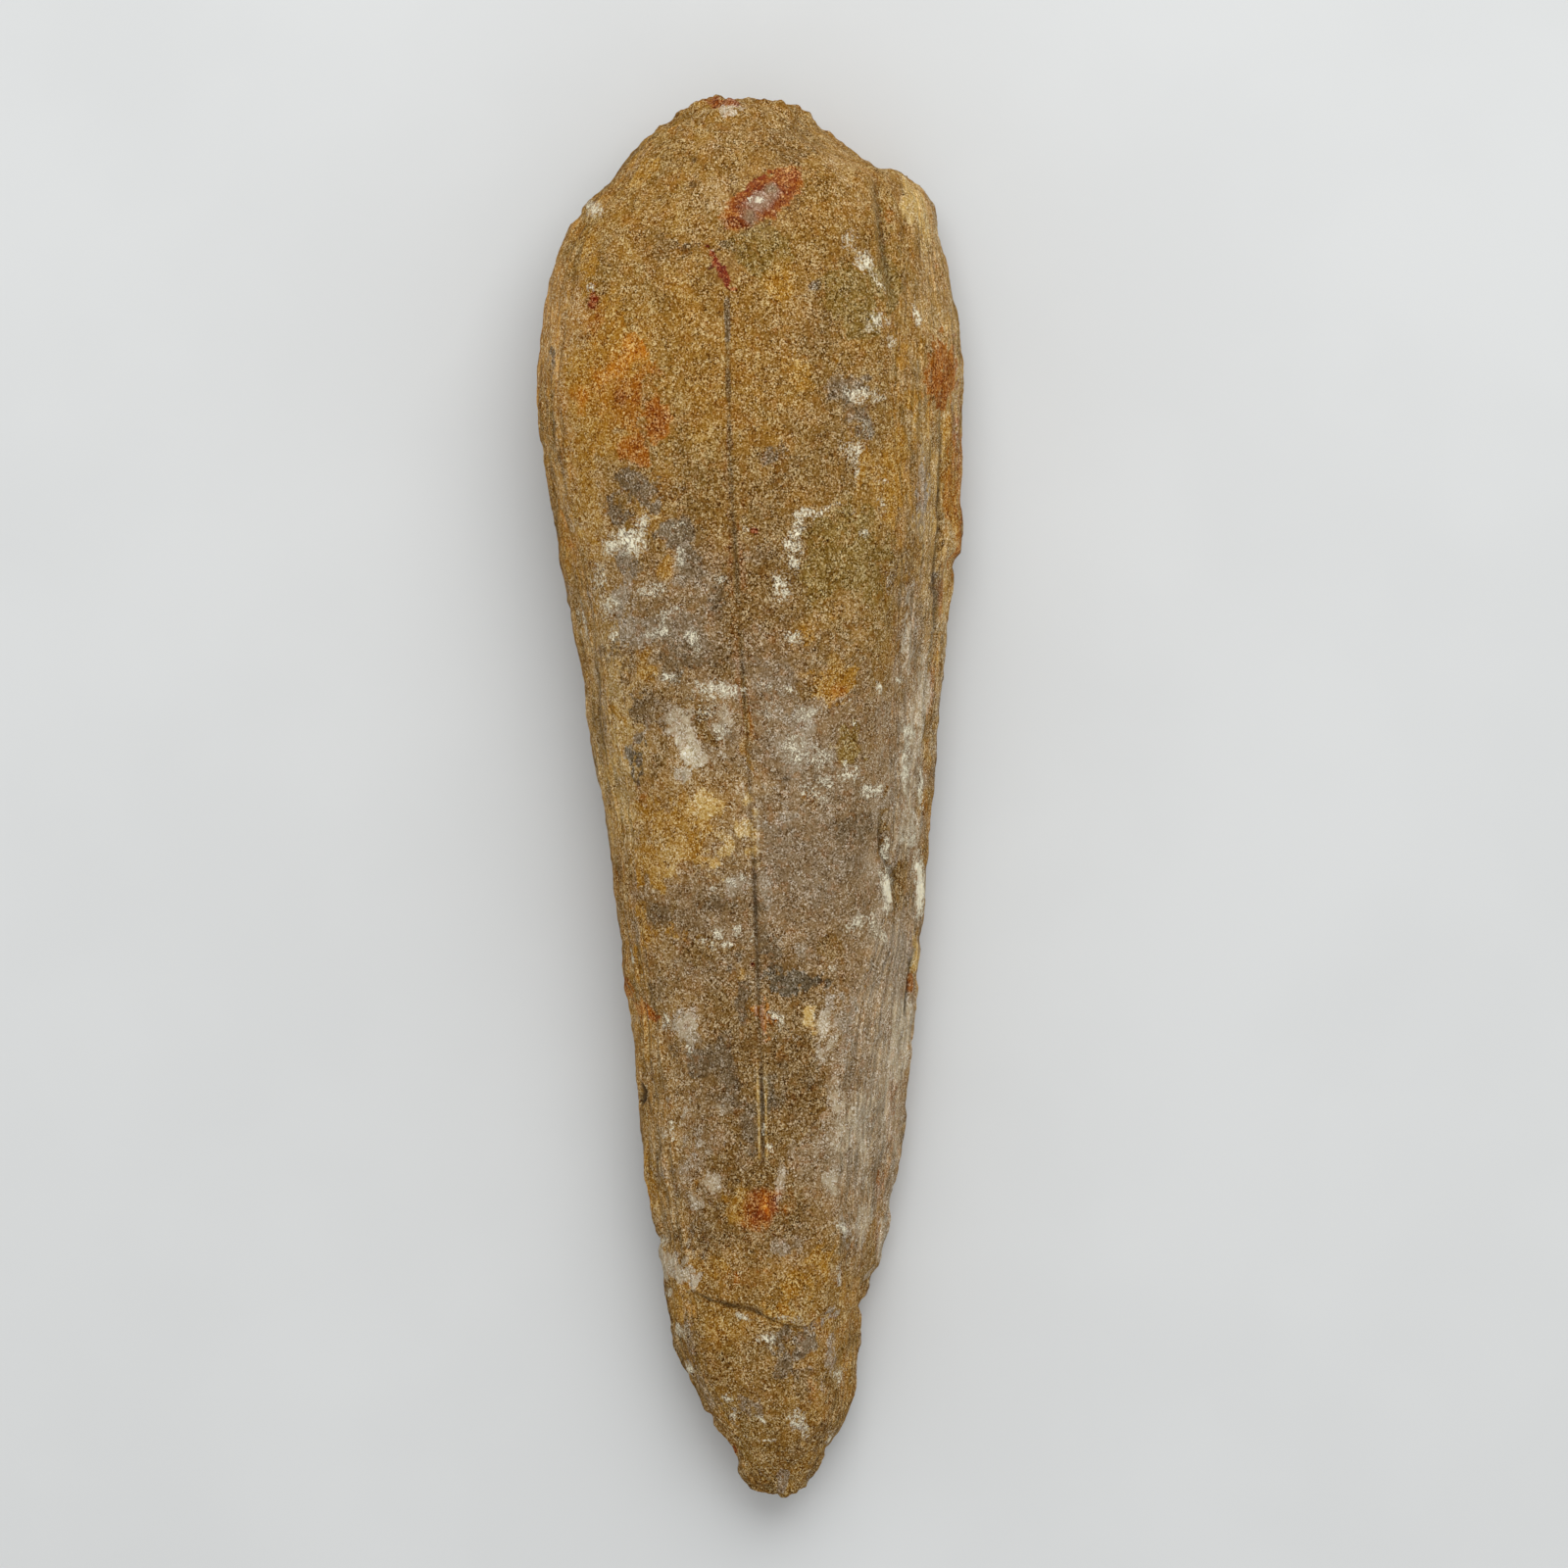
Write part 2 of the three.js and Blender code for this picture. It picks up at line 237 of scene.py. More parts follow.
# Stains of the face: colour, x, y, half-width, half-length, turn, strength.
STAINS = [
    # broad
    ("lilac", -9.5, -49, 4, 9, 2, 0.2),
    ("umber", 1, 45, 13, 7, 0, 0.3),
    ("umber", -3, 25, 5, 9, 0, 0.5),
    ("lilac", -14, 29, 9, 8, 0, 0.4),
    ("slate", -11, 20, 9, 5, 0, 0.45),
    ("drab", 4, 12, 9, 9, 0, 0.4),
    ("lilac", 6, -6, 11, 12, 0, 0.25),
    ("umber", 9, -8, 10, 14, 0, 0.15),
    ("umber", 1, -52, 7, 9, 0, 0.6),
    ("umber", -1, -61, 10, 6, 0, 0.55),
    # root
    ("buff", 13, 88, 7, 6, 0, 0.3),
    ("buff", -5, 90, 2.6, 9, 8, 0.5),
    ("cream", 9, 96, 3.5, 1.8, -35, 0.25),
    ("ochre", -15.5, 90, 2.5, 3.5, -35, 0.5),
    ("ochre", -24, 76, 3, 5, 0, 0.4),
    ("umber", 2, 95, 4.5, 3, 0, 0.4),
    ("umber", 5, 92, 4, 4, 0, 0.6),
    ("olive", 2.5, 77.5, 5, 4, 0, 0.55),
    ("olive", 14.8, 71.5, 5, 5, 0, 1),
    ("olive", 19.2, 81, 1.5, 5, 5, 0.35),
    ("olive", 20.2, 74, 1.2, 4, 8, 0.8),
    ("umber", -11.5, 77, 3.4, 3.8, 0, 0.5),
    ("slate", -5, 79.5, 5, 2, 0, 0.2),
    ("slate", 9.2, 73, 0.9, 1, 0, 0.6),
    ("ochre", 3, 73, 3, 2.5, 0, 0.5),
    ("rust", 1, 67, 4, 3, 0, 0.25),
    ("umber", -5, 91.5, 1.8, 1.8, 0, 0.4),
    ("umber", 12.5, 77.5, 1.4, 1, 0, 0.4),
    ("orange", 19.5, 82.5, 1, 1.3, 0, 0.35),
    ("calcite", -2.5, 98.3, 1.6, 0.8, 0, 0.7),
    # upper left ochre field
    ("ochre", -21, 60, 5, 11, -8, 0.75),
    ("orange", -13, 56, 6, 6, 0, 0.2),
    ("orange", -22.5, 67.5, 1.5, 2.8, -15, 0.45),
    ("rust", -22.5, 67.5, 1.3, 2.4, -15, 0.2),
    ("orange", -17.6, 57, 3.6, 3.2, 20, 0.5),
    ("flame", -20, 59, 5, 9, -8, 0.15),
    ("orange", -13.2, 53, 2, 2.8, 0, 1),
    ("rust", -13.2, 53, 1.7, 2.5, 0, 0.6),
    ("orange", -16.5, 49.2, 3.2, 2.4, 0, 0.7),
    ("ochre", -23.2, 45, 1.6, 9, 5, 0.9),
    ("cream", -24, 43, 2, 10, 5, 0.2),
    ("ochre", -26, 38, 1.6, 5, 8, 0.6),
    ("flame", -26, 38, 1.4, 5, 8, 0.2),
    ("olive", -28.3, 56, 1.3, 9, 0, 0.25),
    ("slate", -28.2, 62.5, 0.8, 2.5, 0, 0.5),
    ("umber", -27.4, 50, 1.3, 4, 5, 0.4),
    # upper middle
    ("slate", 4, 49, 2.8, 2.2, 0, 0.45),
    ("umber", 0, 43, 8, 5, 0, 0.05),
    ("umber", -3, 42, 0.6, 9, 3, 0.5),
    ("ochre", 8, 62, 6, 5, 0, 0.3),
    ("slate", 15, 54.5, 2.4, 5, 0, 0.5),
    ("slate", 12, 58, 2.5, 2.5, 0, 0.5),
    ("olive", 13.1, 34.5, 6, 6.8, 0, 1),
    ("ochre", 17, 46, 2, 4, 25, 0.5),
    ("ochre", 8.5, 24.5, 4, 4, 0, 0.35),
    ("buff", 14, 25, 4, 4, 0, 0.5),
    # slate and lilac fields on the left
    ("slate", -18, 42.6, 4, 4.5, -10, 0.55),
    ("slate", -13.5, 44.5, 5, 3, 0, 0.6),
    ("slate", -10.5, 37.6, 3.4, 2.4, 0, 0.8),
    ("slate", -8.6, 33.5, 2, 3.5, 15, 0.7),
    ("slate", -17, 33.5, 3, 1.6, 0, 0.5),
    ("slate", -4.6, 28.5, 2.6, 2.6, 0, 0.5),
    ("slate", -15, 26.5, 5, 3, 0, 0.2),
    ("lilac", -19.5, 28, 2.2, 3, 0, 0.6),
    ("drab", -9, 24, 5, 3.5, -30, 0.3),
    ("umber", -12.2, 32.8, 1.5, 2.2, 0, 0.3),
    ("ochre", -12.2, 32.8, 1.5, 2.2, 0, 0.6),
    ("ochre", -15.5, 19, 4, 3.2, 0, 0.6),
    ("buff", -21, 14, 2, 10, 4, 0.5),
    ("umber", -7, 31, 14, 2, 15, 0.15),
    ("umber", -2, 27, 1.5, 9, 3, 0.45),
    ("umber", 3, 29, 4, 8, 0, 0.6),
    # middle
    ("calcite", -4.8, 15.2, 3.6, 1.8, -10, 0.55),
    ("calcite", -3.8, 11.6, 1.2, 2, 20, 0.5),
    ("lilac", 3.2, 14.5, 2.4, 4, 0, 0.2),
    ("lilac", 7.8, 7.4, 4.4, 4.2, 0, 0.6),
    ("lilac", 8.2, 12.2, 2.6, 2.4, 0, 0.35),
    ("calcite", 8.4, 12, 1.4, 1.2, 0, 0.2),
    ("umber", 7.8, 15.4, 1.9, 1.8, 0, 0.8),
    ("umber", 4.8, 3, 1.4, 2, 0, 0.3),
    ("rust", 8.4, 0.3, 0.9, 1.2, 0, 0.5),
    ("lilac", 4.2, -4.2, 1.8, 3, 0, 0.7),
    ("umber", -13, 12.5, 3.5, 2.5, 20, 0.8),
    ("slateblue", -16.2, 6, 1.2, 3, 8, 0.6),
    ("slate", -15.5, 13.5, 2.2, 2, 0, 0.5),
    ("ochre", -18, 11.5, 1, 3, 40, 0.6),
    ("umber", -13, 4, 2.6, 5, 0, 0.4),
    ("lilac", -15.8, 9, 0.9, 4, -30, 0.35),
    ("calcite", -14.8, 10.6, 0.6, 4.5, -35, 0.2),
    ("calcite", -9, 10, 2.2, 4.2, 42, 1),
    ("calcite", -5, 8.3, 0.8, 4.6, 38, 0.45),
    ("calcite", -7, 6.2, 2.2, 1.3, 20, 0.95),
    ("calcite", -9.4, 3.6, 1.4, 1.6, 0, 0.9),
    ("crust", -7.9, 7.2, 1.6, 2.4, 30, 0.45),
    ("umber", -6, 10.4, 1.2, 3.8, 40, 1),
    ("lilac", -12, 12.2, 3.8, 0.5, 35, 0.2),
    ("ochre", -11, -6.5, 6.2, 6.5, 0, 0.75),
    ("cream", -12.5, -6.5, 4.5, 4, 0, 0.25),
    ("orange", -15, 1, 1.5, 1.5, 0, 0.3),
    ("cream", -7.4, -0.8, 2.6, 2.6, 0, 0.55),
    ("cream", -3.5, -3.5, 3.5, 4.5, 0, 0.4),
    ("cream", 0, -4.5, 1.3, 4, 0, 0.4),
    ("ochre", -0.4, 10, 1.2, 9, 2, 0.4),
    ("cream", -5, -9.5, 2, 2.5, 0, 0.4),
    ("umber", 12.6, 17, 2.8, 3.4, 0, 0.25),
    ("ochre", 12.6, 17, 2.6, 3.2, 0, 0.65),
    ("orange", 12.4, 15.4, 1.4, 1.4, 0, 0.5),
    ("umber", 12.5, 20, 2.6, 2.2, 0, 0.5),
    ("ochre", 9, 18, 2, 2, 0, 0.4),
    ("olive", 14.2, 7.8, 2.4, 3.4, 0, 0.6),
    ("drab", 8, -9, 7, 7, 0, 0.6),
    ("slate", 15.4, -3.4, 2.8, 3.6, 0, 0.55),
    ("umber", 11, 0.5, 5, 2.5, 0, 0.3),
    ("umber", 0.9, -8.9, 1, 0.8, 0, 0.8),
    ("lilac", 2.4, -12.6, 1, 3, 10, 0.9),
    ("lilac", -1.8, -12.2, 2, 1.4, 0, 0.8),
    ("slate", -5, -14.6, 2.6, 1.8, 10, 1),
    ("slate", -13, -16.5, 2, 1.4, 0, 0.9),
    ("slate", 1.8, -15.6, 1.6, 1.2, 0, 0.6),
    ("umber", -9, -15.5, 6, 2, 0, 0.3),
    ("ochre", -11, -18.5, 4, 1.5, 0, 0.4),
    # lower middle
    ("ochre", -14.5, -21, 3, 7, 5, 0.4),
    ("umber", -8, -25.5, 4, 3, 0, 0.4),
    ("umber", -7, -21, 6, 2.4, 0, 0.6),
    ("slate", 2.6, -20.5, 1.8, 3.4, 10, 0.6),
    ("slateblue", 6.8, -26.2, 4.2, 1.5, 3, 0.8),
    ("slateblue", 3.4, -24.6, 1.6, 1.6, 0, 0.6),
    ("slate", -0.6, -27.8, 1, 4.2, -3, 1),
    ("slate", -2.6, -23, 1.4, 1.8, 0, 0.6),
    ("rust", 0.3, -23.3, 0.5, 0.4, 0, 0.8),
    ("ochre", -0.9, -24.6, 0.6, 0.7, 0, 0.7),
    ("lilac", 7.6, -22, 2, 1.6, 0, 0.5),
    ("umber", 12, -21.5, 2.2, 2.6, 0, 0.5),
    ("lilac", -8.8, -31.4, 2.5, 3, 0, 0.35),
    ("calcite", -8.7, -31.6, 2, 2.6, 0, 0.6),
    ("umber", -4, -31, 2.4, 3.4, 0, 0.6),
    ("orange", 2.4, -31, 1.2, 3.5, 0, 0.6),
    ("cream", 8.7, -31.6, 1.5, 1.9, 0, 0.9),
    ("calcite", 10.8, -33.5, 2, 4.4, -10, 0.6),
    ("lilac", 11.6, -29, 2, 2, 0, 0.5),
    ("orange", 4.4, -36, 1.4, 1, 0, 0.5),
    ("slate", -5.4, -37, 5, 3.2, -25, 1),
    ("slate", -1.6, -41.5, 3, 4, 0, 0.75),
    ("slateblue", -1.6, -41.5, 2.6, 3.6, 0, 0.35),
    ("umber", 2.6, -41.4, 3, 5, 0, 1),
    ("slateblue", 3.2, -41.4, 2.4, 3.4, 0, 0.8),
    ("umber", 6.6, -39.6, 4.4, 5, 0, 1),
    ("slateblue", 6.6, -39.6, 4, 4.6, 0, 0.3),
    ("umber", -8, -41, 4, 3, 0, 0.4),
    ("slate", 0, -47, 1.2, 3.4, 0, 1),
    ("orange", -17.6, -26.6, 0.7, 1.8, 10, 0.65),
    ("orange", -15.2, -30, 1, 1.8, 45, 0.9),
    ("rust", -13.8, -31, 0.8, 0.6, 0, 0.7),
    ("ochre", -13.2, -35, 2.4, 2.6, 0, 0.4),
    ("calcite", -7.5, -46.5, 4, 3, 15, 0.5),
    ("lilac", -8.5, -51.5, 2.2, 3, 0, 0.25),
    ("calcite", 12.6, -44, 2, 6, 0, 0.4),
    ("calcite", 11.8, -43, 1, 2.2, 0, 0.5),
    ("calcite", 11.6, -54.4, 1.6, 2.4, 20, 1),
    ("calcite", 12.6, -49, 1, 3, 0, 0.5),
    ("calcite", -8, -57.2, 1.1, 2, -15, 0.55),
    ("calcite", -5.2, -54.4, 1.2, 1.4, 0, 0.9),
    ("ochre", -14, -53, 1, 6, 3, 0.6),
    ("ochre", -7, -55, 3, 2, 0, 0.3),
    ("umber", 3.4, -51.5, 1.6, 1.4, 0, 0.5),
    ("calcite", 4.2, -54.6, 0.5, 2.4, -12, 0.5),
    # the rust spot
    ("ochre", -1.2, -57.5, 3, 2, 0, 0.8),
    ("orange", 1.5, -58, 3, 2.8, 0, 1),
    ("rust", 1.4, -58.2, 2.6, 2.3, 0, 0.65),
    ("rust", 0.2, -56.2, 0.8, 0.7, 0, 0.8),
    ("rust", 2.9, -59.2, 0.6, 0.9, 0, 0.7),
    ("red", 0.6, -59.6, 1.6, 0.7, 0, 0.5),
    ("red", 3.4, -57.6, 0.6, 1.6, 10, 0.5),
    ("flame", 2.2, -58.4, 0.6, 1.3, 5, 0.8),
    ("ochre", -1.8, -58.8, 1.2, 1, 0, 0.8),
    ("umber", 8.5, -57, 3, 2.4, 0, 0.5),
    # below the rust spot
    ("slate", 5.4, -62.6, 3.4, 3, 0, 0.2),
    ("lilac", 5.6, -64.4, 3, 2.4, 0, 0.35),
    ("slate", -8.4, -63, 2, 3.5, 0, 0.35),
    ("ochre", 9.8, -66.6, 2.4, 2.4, 0, 0.75),
    ("ochre", 5.8, -72, 3.6, 3.4, 0, 0.6),
    ("ochre", -4.6, -67, 2.4, 2.6, 0, 0.6),
    ("orange", 0, -68.6, 5, 1.8, 0, 0.3),
    ("calcite", -10.5, -67, 1.3, 4, 50, 0.9),
    ("ochre", -9.6, -73, 1.8, 2, 0, 0.5),
    ("drab", 9.4, -75, 1.4, 0.7, 30, 0.6),
    ("lilac", 11.8, -73.2, 1.4, 1.2, 0, 0.6),
    ("calcite", 13.2, -73.4, 1.6, 1.3, 0, 0.15),
    ("umber", -6.5, -76.5, 4, 3, 0, 0.35),
    ("slate", 6, -78, 4, 2.4, 0, 0.6),
    ("lilac", 9.5, -79, 3.5, 4.5, 0, 0.4),
    ("slate", 6, -82, 3, 2.4, 0, 0.45),
    ("umber", 8, -83.5, 2, 2, 0, 0.9),
    ("orange", 9.8, -84, 1.2, 2, 0, 0.25),
    ("umber", -6.6, -84.5, 1.6, 3, 35, 0.6),
    ("drab", 0.5, -86.5, 3, 1.4, 0, 0.5),
    ("lilac", 6.4, -88.6, 1.8, 2.2, 0, 0.4),
    ("umber", 6, -94.5, 4, 3, 0, 0.5),
    ("drab", 4.7, -97.4, 1.2, 1.6, 0, 0.8),
    ("rust", -2.2, -93.2, 0.4, 1, 20, 0.8),
    # right side
    ("ochre", 22.5, 54, 2.6, 14, 0, 0.5),
    ("cream", 24, 84, 2.6, 7, 12, 0.5),
    ("orange", 26.9, 61, 1.7, 4.8, -2, 1),
    ("rust", 26.7, 60.6, 1.2, 4.4, -2, 0.45),
    ("lilac", 24.6, 43.5, 1.5, 6.5, -3, 0.6),
    ("ochre", 28.7, 46, 1.1, 10, 0, 0.7),
    ("orange", 28.4, 44, 0.6, 5, 0, 0.5),
    ("cream", 24.4, 37.6, 1, 3, 0, 0.5),
    ("orange", 29.7, 43, 1, 13, 0, 0.45),
    ("rust", 29.8, 42, 0.6, 8, 0, 0.1),
    ("umber", 27.3, 40, 0.4, 10, 0, 0.6),
    ("ochre", 20.4, 46, 1.4, 8, 0, 0.8),
    ("calcite", 22.8, 24, 1.3, 8, -2, 0.5),
    ("umber", 21, 33, 1.6, 4, 0, 0.45),
    ("slate", 26.8, 30, 0.9, 2.5, 0, 0.5),
    ("cream", 27.6, 25, 1, 10, -4, 0.25),
    ("orange", 27.4, 30, 0.5, 5, -4, 0.4),
    ("cream", 26.4, 12, 0.7, 7, -4, 0.25),
    ("calcite", 24.9, 14, 0.8, 8, -3, 0.75),
    ("calcite", 23.2, 8, 1.4, 9, -2, 0.5),
    ("calcite", 22.8, -4, 1.8, 5, -2, 0.55),
    ("umber", 19.4, -5, 0.8, 5, -3, 0.7),
    ("umber", 21.8, -11.5, 1.1, 5, -8, 0.8),
    ("umber", 24.6, -5, 0.7, 4, -4, 0.15),
    ("lilac", 20.4, -22, 2.6, 6, -3, 0.6),
    ("cream", 23.6, -22.6, 0.5, 3, -3, 0.8),
    ("crust", 24.3, -12, 0.45, 3.4, -3, 1),
    ("crust", 19.9, -13, 0.5, 2, -3, 0.9),
    ("orange", 23, -26.4, 0.4, 1.6, -3, 0.7),
    ("calcite", 21, -34.5, 1.6, 6.5, -4, 0.95),
    ("lilac", 15.5, -34, 2.4, 6, 0, 0.5),
    ("calcite", 17, -46, 3, 9, -3, 0.4),
    ("calcite", 19.6, -46, 0.8, 5, -4, 0.45),
    ("calcite", 17, -60, 3, 8, -5, 0.35),
    ("orange", 18.6, -55, 0.6, 3, -5, 0.35),
    ("lilac", 13.4, -62, 1.2, 3, 0, 0.5),
    ("lilac", 12.6, -68, 1, 2, 0, 0.45),
    ("umber", 10.5, -91, 2, 3, -30, 0.5),
]

# Narrow stains along the groove: colour, distance to either side, half-width, from y, to y, strength.
GROOVE_LINES = [
    ("umber", 0, 0.6, 72, 6, 1),
    ("rust", 0.8, 0.4, 56, 8, 0.35),
    ("slate", 0, 0.7, 72, 62, 0.5),
    ("ochre", 0, 0.6, 8, -8, 0.4),
    # The pale lines beside the groove, here and below, are painted highlight on its two ridges.
    ("calcite", 0.8, 0.25, 4, -8, 0.5),
    ("calcite", 0.45, 0.2, -20, -36, 0.35),
    ("cream", 0.5, 0.22, -36, -52, 1),
]

# The stains that are bare, smooth stone. The others lie on the sandy coat.
SMOOTH_STAINS = ("slate", "slateblue", "lilac", "calcite", "drab")

# Small strokes and dots of rust, and what lies on the nodule: colour, x, y, half-width,
# half-length, turn, strength.
RUST_MARKS = [
    ("red", -4.1, 75, 0.7, 3.4, 29, 1),
    ("red", -5.7, 75.5, 0.35, 0.4, 0, 0.8),
    ("red", -22.3, 70.7, 0.8, 1.4, -10, 0.75),
    ("rust", -18.3, 57.2, 1.2, 1.4, 0, 0.75),
    ("red", 0.6, 38.1, 0.8, 0.5, 0, 0.75),
    ("rust", -3.7, 99.3, 2.4, 0.6, -4, 0.8),
    ("rust", -13.7, -31, 0.8, 0.5, 0, 0.8),
    # on the nodule
    ("rust", -1.6, 81.8, 2.2, 0.9, 10, 0.95),
    ("red", 6.2, 88.4, 1, 1.6, -50, 0.5),
    ("red", 0.4, 87.2, 0.5, 2.6, -50, 0.5),
    ("lilac", 1.6, 84.9, 1.3, 2.6, -53, 0.55),
    ("drab", 2.9, 86.5, 0.9, 0.8, -50, 0.8),
    ("drab", 0.1, 82.5, 1.1, 0.9, -40, 0.8),
    # The white dot is the nodule's painted highlight.
    ("crust", 1.1, 84.7, 0.4, 0.3, 0, 0.8),
]

# White and cream crust: x, y, half-width, half-length, turn, and how much of it is covered.
CRUST = [
    (-21.9, 84.3, 1.4, 0.9, -30, 0.8), (14.2, 79.3, 1.1, 1.2, 0, 0.6), (16.3, 76.5, 1, 1.4, 20, 0.9),
    (18.3, 73.6, 0.5, 1.6, 30, 0.6), (9.3, 72.9, 0.6, 0.7, 0, 0.5), (18.1, 68, 1.8, 1.2, 0, 0.7),
    (19.8, 64.9, 1, 1, 0, 0.7), (23.6, 68.9, 0.35, 1.4, 8, 1), (15, 57.2, 1.6, 1.1, 0, 0.9),
    (17.5, 57.4, 0.9, 0.8, 0, 0.6), (15, 49.8, 1.5, 1.5, 0, 0.8), (16.6, 52.5, 0.6, 1.8, 15, 0.5),
    (15.2, 46, 0.4, 1.4, 0, 0.6), (-17.5, 37, 2.4, 2, 0, 1), (-19.8, 35.4, 1.3, 0.8, 0, 0.8),
    (-15.4, 39.4, 1.2, 0.8, -20, 0.8), (-21.8, 31.8, 1.1, 1.4, 0, 0.7), (-20.4, 28, 1.6, 1.8, 0, 0.7),
    (-19.6, 23.4, 0.7, 0.9, 0, 0.7), (-23.8, 25, 0.5, 2.5, 8, 0.6), (-14, 29.8, 2, 0.7, 0, 0.65),
    (-11.2, 26.4, 1.8, 0.8, 30, 0.6), (-12.6, 23.5, 2, 0.9, 0, 0.8), (-8.2, 22.6, 0.8, 1.5, 30, 0.9),
    (-9.9, 34, 0.7, 2.2, 0, 0.6), (-10.5, 38, 2.2, 1.4, 0, 0.35), (-4, 31, 0.8, 1, 0, 0.6),
    (8.3, 40.6, 1.8, 0.7, 10, 1), (6.6, 38.2, 0.7, 1.6, -20, 1), (6, 35.8, 1.1, 1.4, 0, 0.9),
    (6.2, 33.6, 0.6, 1.2, 0, 0.9), (11.6, 41.6, 1.4, 0.5, 15, 0.6), (14.5, 40.8, 1.4, 0.4, 0, 0.5),
    (15.9, 37.7, 1, 0.4, 0, 0.9), (18.6, 45.1, 0.9, 0.25, 0, 0.9), (18.6, 42, 0.5, 1.2, 20, 0.5),
    (4.2, 30.4, 1.1, 1.8, 0, 0.7), (5.8, 22.8, 1, 0.9, 0, 0.8), (19.8, 31.5, 0.5, 2.8, 0, 0.4),
    (14.2, 14.3, 0.35, 0.35, 0, 1), (14.8, 10.9, 0.4, 0.4, 0, 1), (-11.2, 17.4, 1.6, 1, 0, 0.6),
    (-4.6, 15.4, 3.2, 1.5, -10, 0.75), (-6, 12.6, 1.6, 1.2, 30, 0.4), (-3.8, 9.9, 0.8, 0.9, 0, 0.6),
    (-0.9, 15.6, 0.7, 0.5, 0, 0.8), (2.6, 16.4, 1, 0.5, 0, 0.5), (5.4, 15.6, 1.6, 1, 0, 0.35),
    (2.4, 12.5, 1.2, 2.4, 0, 0.3), (8.2, 12.2, 2, 1.4, 0, 0.5), (7.2, 8, 1.8, 1.8, 0, 0.6),
    (10, 6, 1.4, 1.6, 0, 0.5), (9.5, 1.5, 1.6, 1.6, 0, 0.4), (13.6, 5, 0.7, 0.5, 0, 1),
    (14.4, 3.6, 1.8, 1, 0, 0.7),
    (17.6, 1.3, 1.8, 0.9, 0, 0.8), (11, 2.6, 1.2, 0.8, 0, 0.6), (18.4, 15.8, 0.5, 0.9, 20, 0.9),
    (21.6, 17, 0.4, 0.4, 0, 1), (22.6, 9.8, 0.8, 1.4, 30, 0.9), (22.4, 5, 0.5, 3.4, 0, 0.9),
    (24.8, 1, 0.35, 2.6, 3, 0.9), (19.9, -7.2, 0.3, 1.4, 0, 0.9), (19.9, -12.6, 0.8, 2.6, 0, 1),
    (19.4, -15.4, 0.7, 1, 0, 0.8), (24.3, -11.8, 0.8, 3.8, -3, 1), (24.1, -15.8, 0.7, 1.6, 0, 1),
    (22.8, -6, 1, 1.4, 0, 0.5), (16.4, -17.6, 1.6, 1.2, 30, 0.6), (18.6, -19.6, 1.2, 1.4, 30, 0.6),
    (14.4, -18.4, 0.7, 0.9, 0, 0.5), (-1, -11.2, 0.4, 0.5, 0, 1), (-3.1, -11.5, 0.8, 0.5, 0, 0.6),
    (-4.9, -12.5, 0.4, 0.3, 0, 1), (-4.5, -19, 0.7, 0.8, 0, 1), (-6.6, -19.9, 0.9, 0.35, 10, 1),
    (-3.2, -20.4, 0.9, 0.35, 0, 1), (-5.2, -20.9, 0.8, 0.25, 0, 0.9), (-1.4, -18.6, 1, 0.6, 0, 0.7),
    (0.4, -20, 0.3, 0.8, 0, 0.5), (-16.8, -22.6, 0.25, 1, 5, 1), (3.4, -30.6, 1.1, 0.35, 0, 0.9),
    (4.4, -31.9, 0.35, 1.1, 0, 0.7), (3.8, -33.6, 0.7, 0.25, 0, 0.8), (6.3, -33.7, 0.9, 0.3, 0, 0.7),
    (11.6, -24.4, 0.5, 0.5, 0, 0.8), (8.8, -31.6, 1, 1.2, 0, 0.35), (-12, -31.6, 0.5, 1.4, 20, 0.5),
    (-8.5, -35.6, 1, 0.3, -30, 0.7), (-8.5, -43, 0.3, 1.6, 20, 0.5), (3, -49.4, 0.45, 0.45, 0, 1),
    (2, -47, 0.2, 1.2, 0, 0.9), (-11.3, -47, 0.25, 2, 0, 0.6), (12.9, -61.2, 0.5, 0.9, 20, 1),
    (12.6, -68, 0.4, 1.4, 0, 0.6), (-12.4, -63.4, 0.5, 0.9, 0, 0.6), (-11.2, -70.6, 0.4, 0.6, 0, 0.8),
    (-1.6, -73.4, 0.7, 0.35, 0, 1), (4.4, -74, 1, 0.3, 0, 0.6), (7, -74.2, 0.5, 0.4, 0, 0.9),
    (-9.8, -76.2, 1, 1.1, 0, 0.7), (-8.7, -81.4, 0.7, 1, 20, 0.9), (1.6, -76.9, 0.8, 0.4, 0, 1),
    (2.8, -77.4, 0.9, 0.9, 0, 1), (-1, -73.6, 0.9, 0.5, 0, 0.8), (6.6, -74.5, 0.9, 0.4, 0, 0.5),
    (-2.8, -85.4, 0.8, 0.5, -30, 0.9), (-2, -88, 0.7, 1, 30, 0.5), (1.6, -88.4, 0.3, 1, 40, 0.8),
    (6.4, -88.8, 1.4, 1.4, 0, 0.7), (8, -90.6, 0.6, 1, 0, 0.6), (2.4, -91.7, 2, 0.2, -4, 0.9),
    # The two dots at about (0, 84.9) and (1.2, 84.8) are the rust nodule's painted highlight.
    (11.2, -91.4, 0.6, 1.1, -20, 0.7), (12.4, -82.6, 0.8, 1.2, -20, 0.6), (0, 84.9, 0.4, 0.4, 0, 0.6),
    (1.2, 84.8, 0.6, 0.5, 0, 1), (-0.4, 38.5, 0.25, 0.2, 0, 1), (-22.6, 72.8, 0.9, 0.5, 0, 0.6),
]

# Smooth shiny spots: x, y, radius, shine.
GLOSS = [(1.1, 84.9, 1.2, 1), (1.8, 85.2, 6.5, 0.4), (-3.7, 75, 2.6, 0.5), (2.2, -58.2, 1.4, 0.4)]

# ---------------------------------------------------------------------------------------------
# Settings
# ---------------------------------------------------------------------------------------------


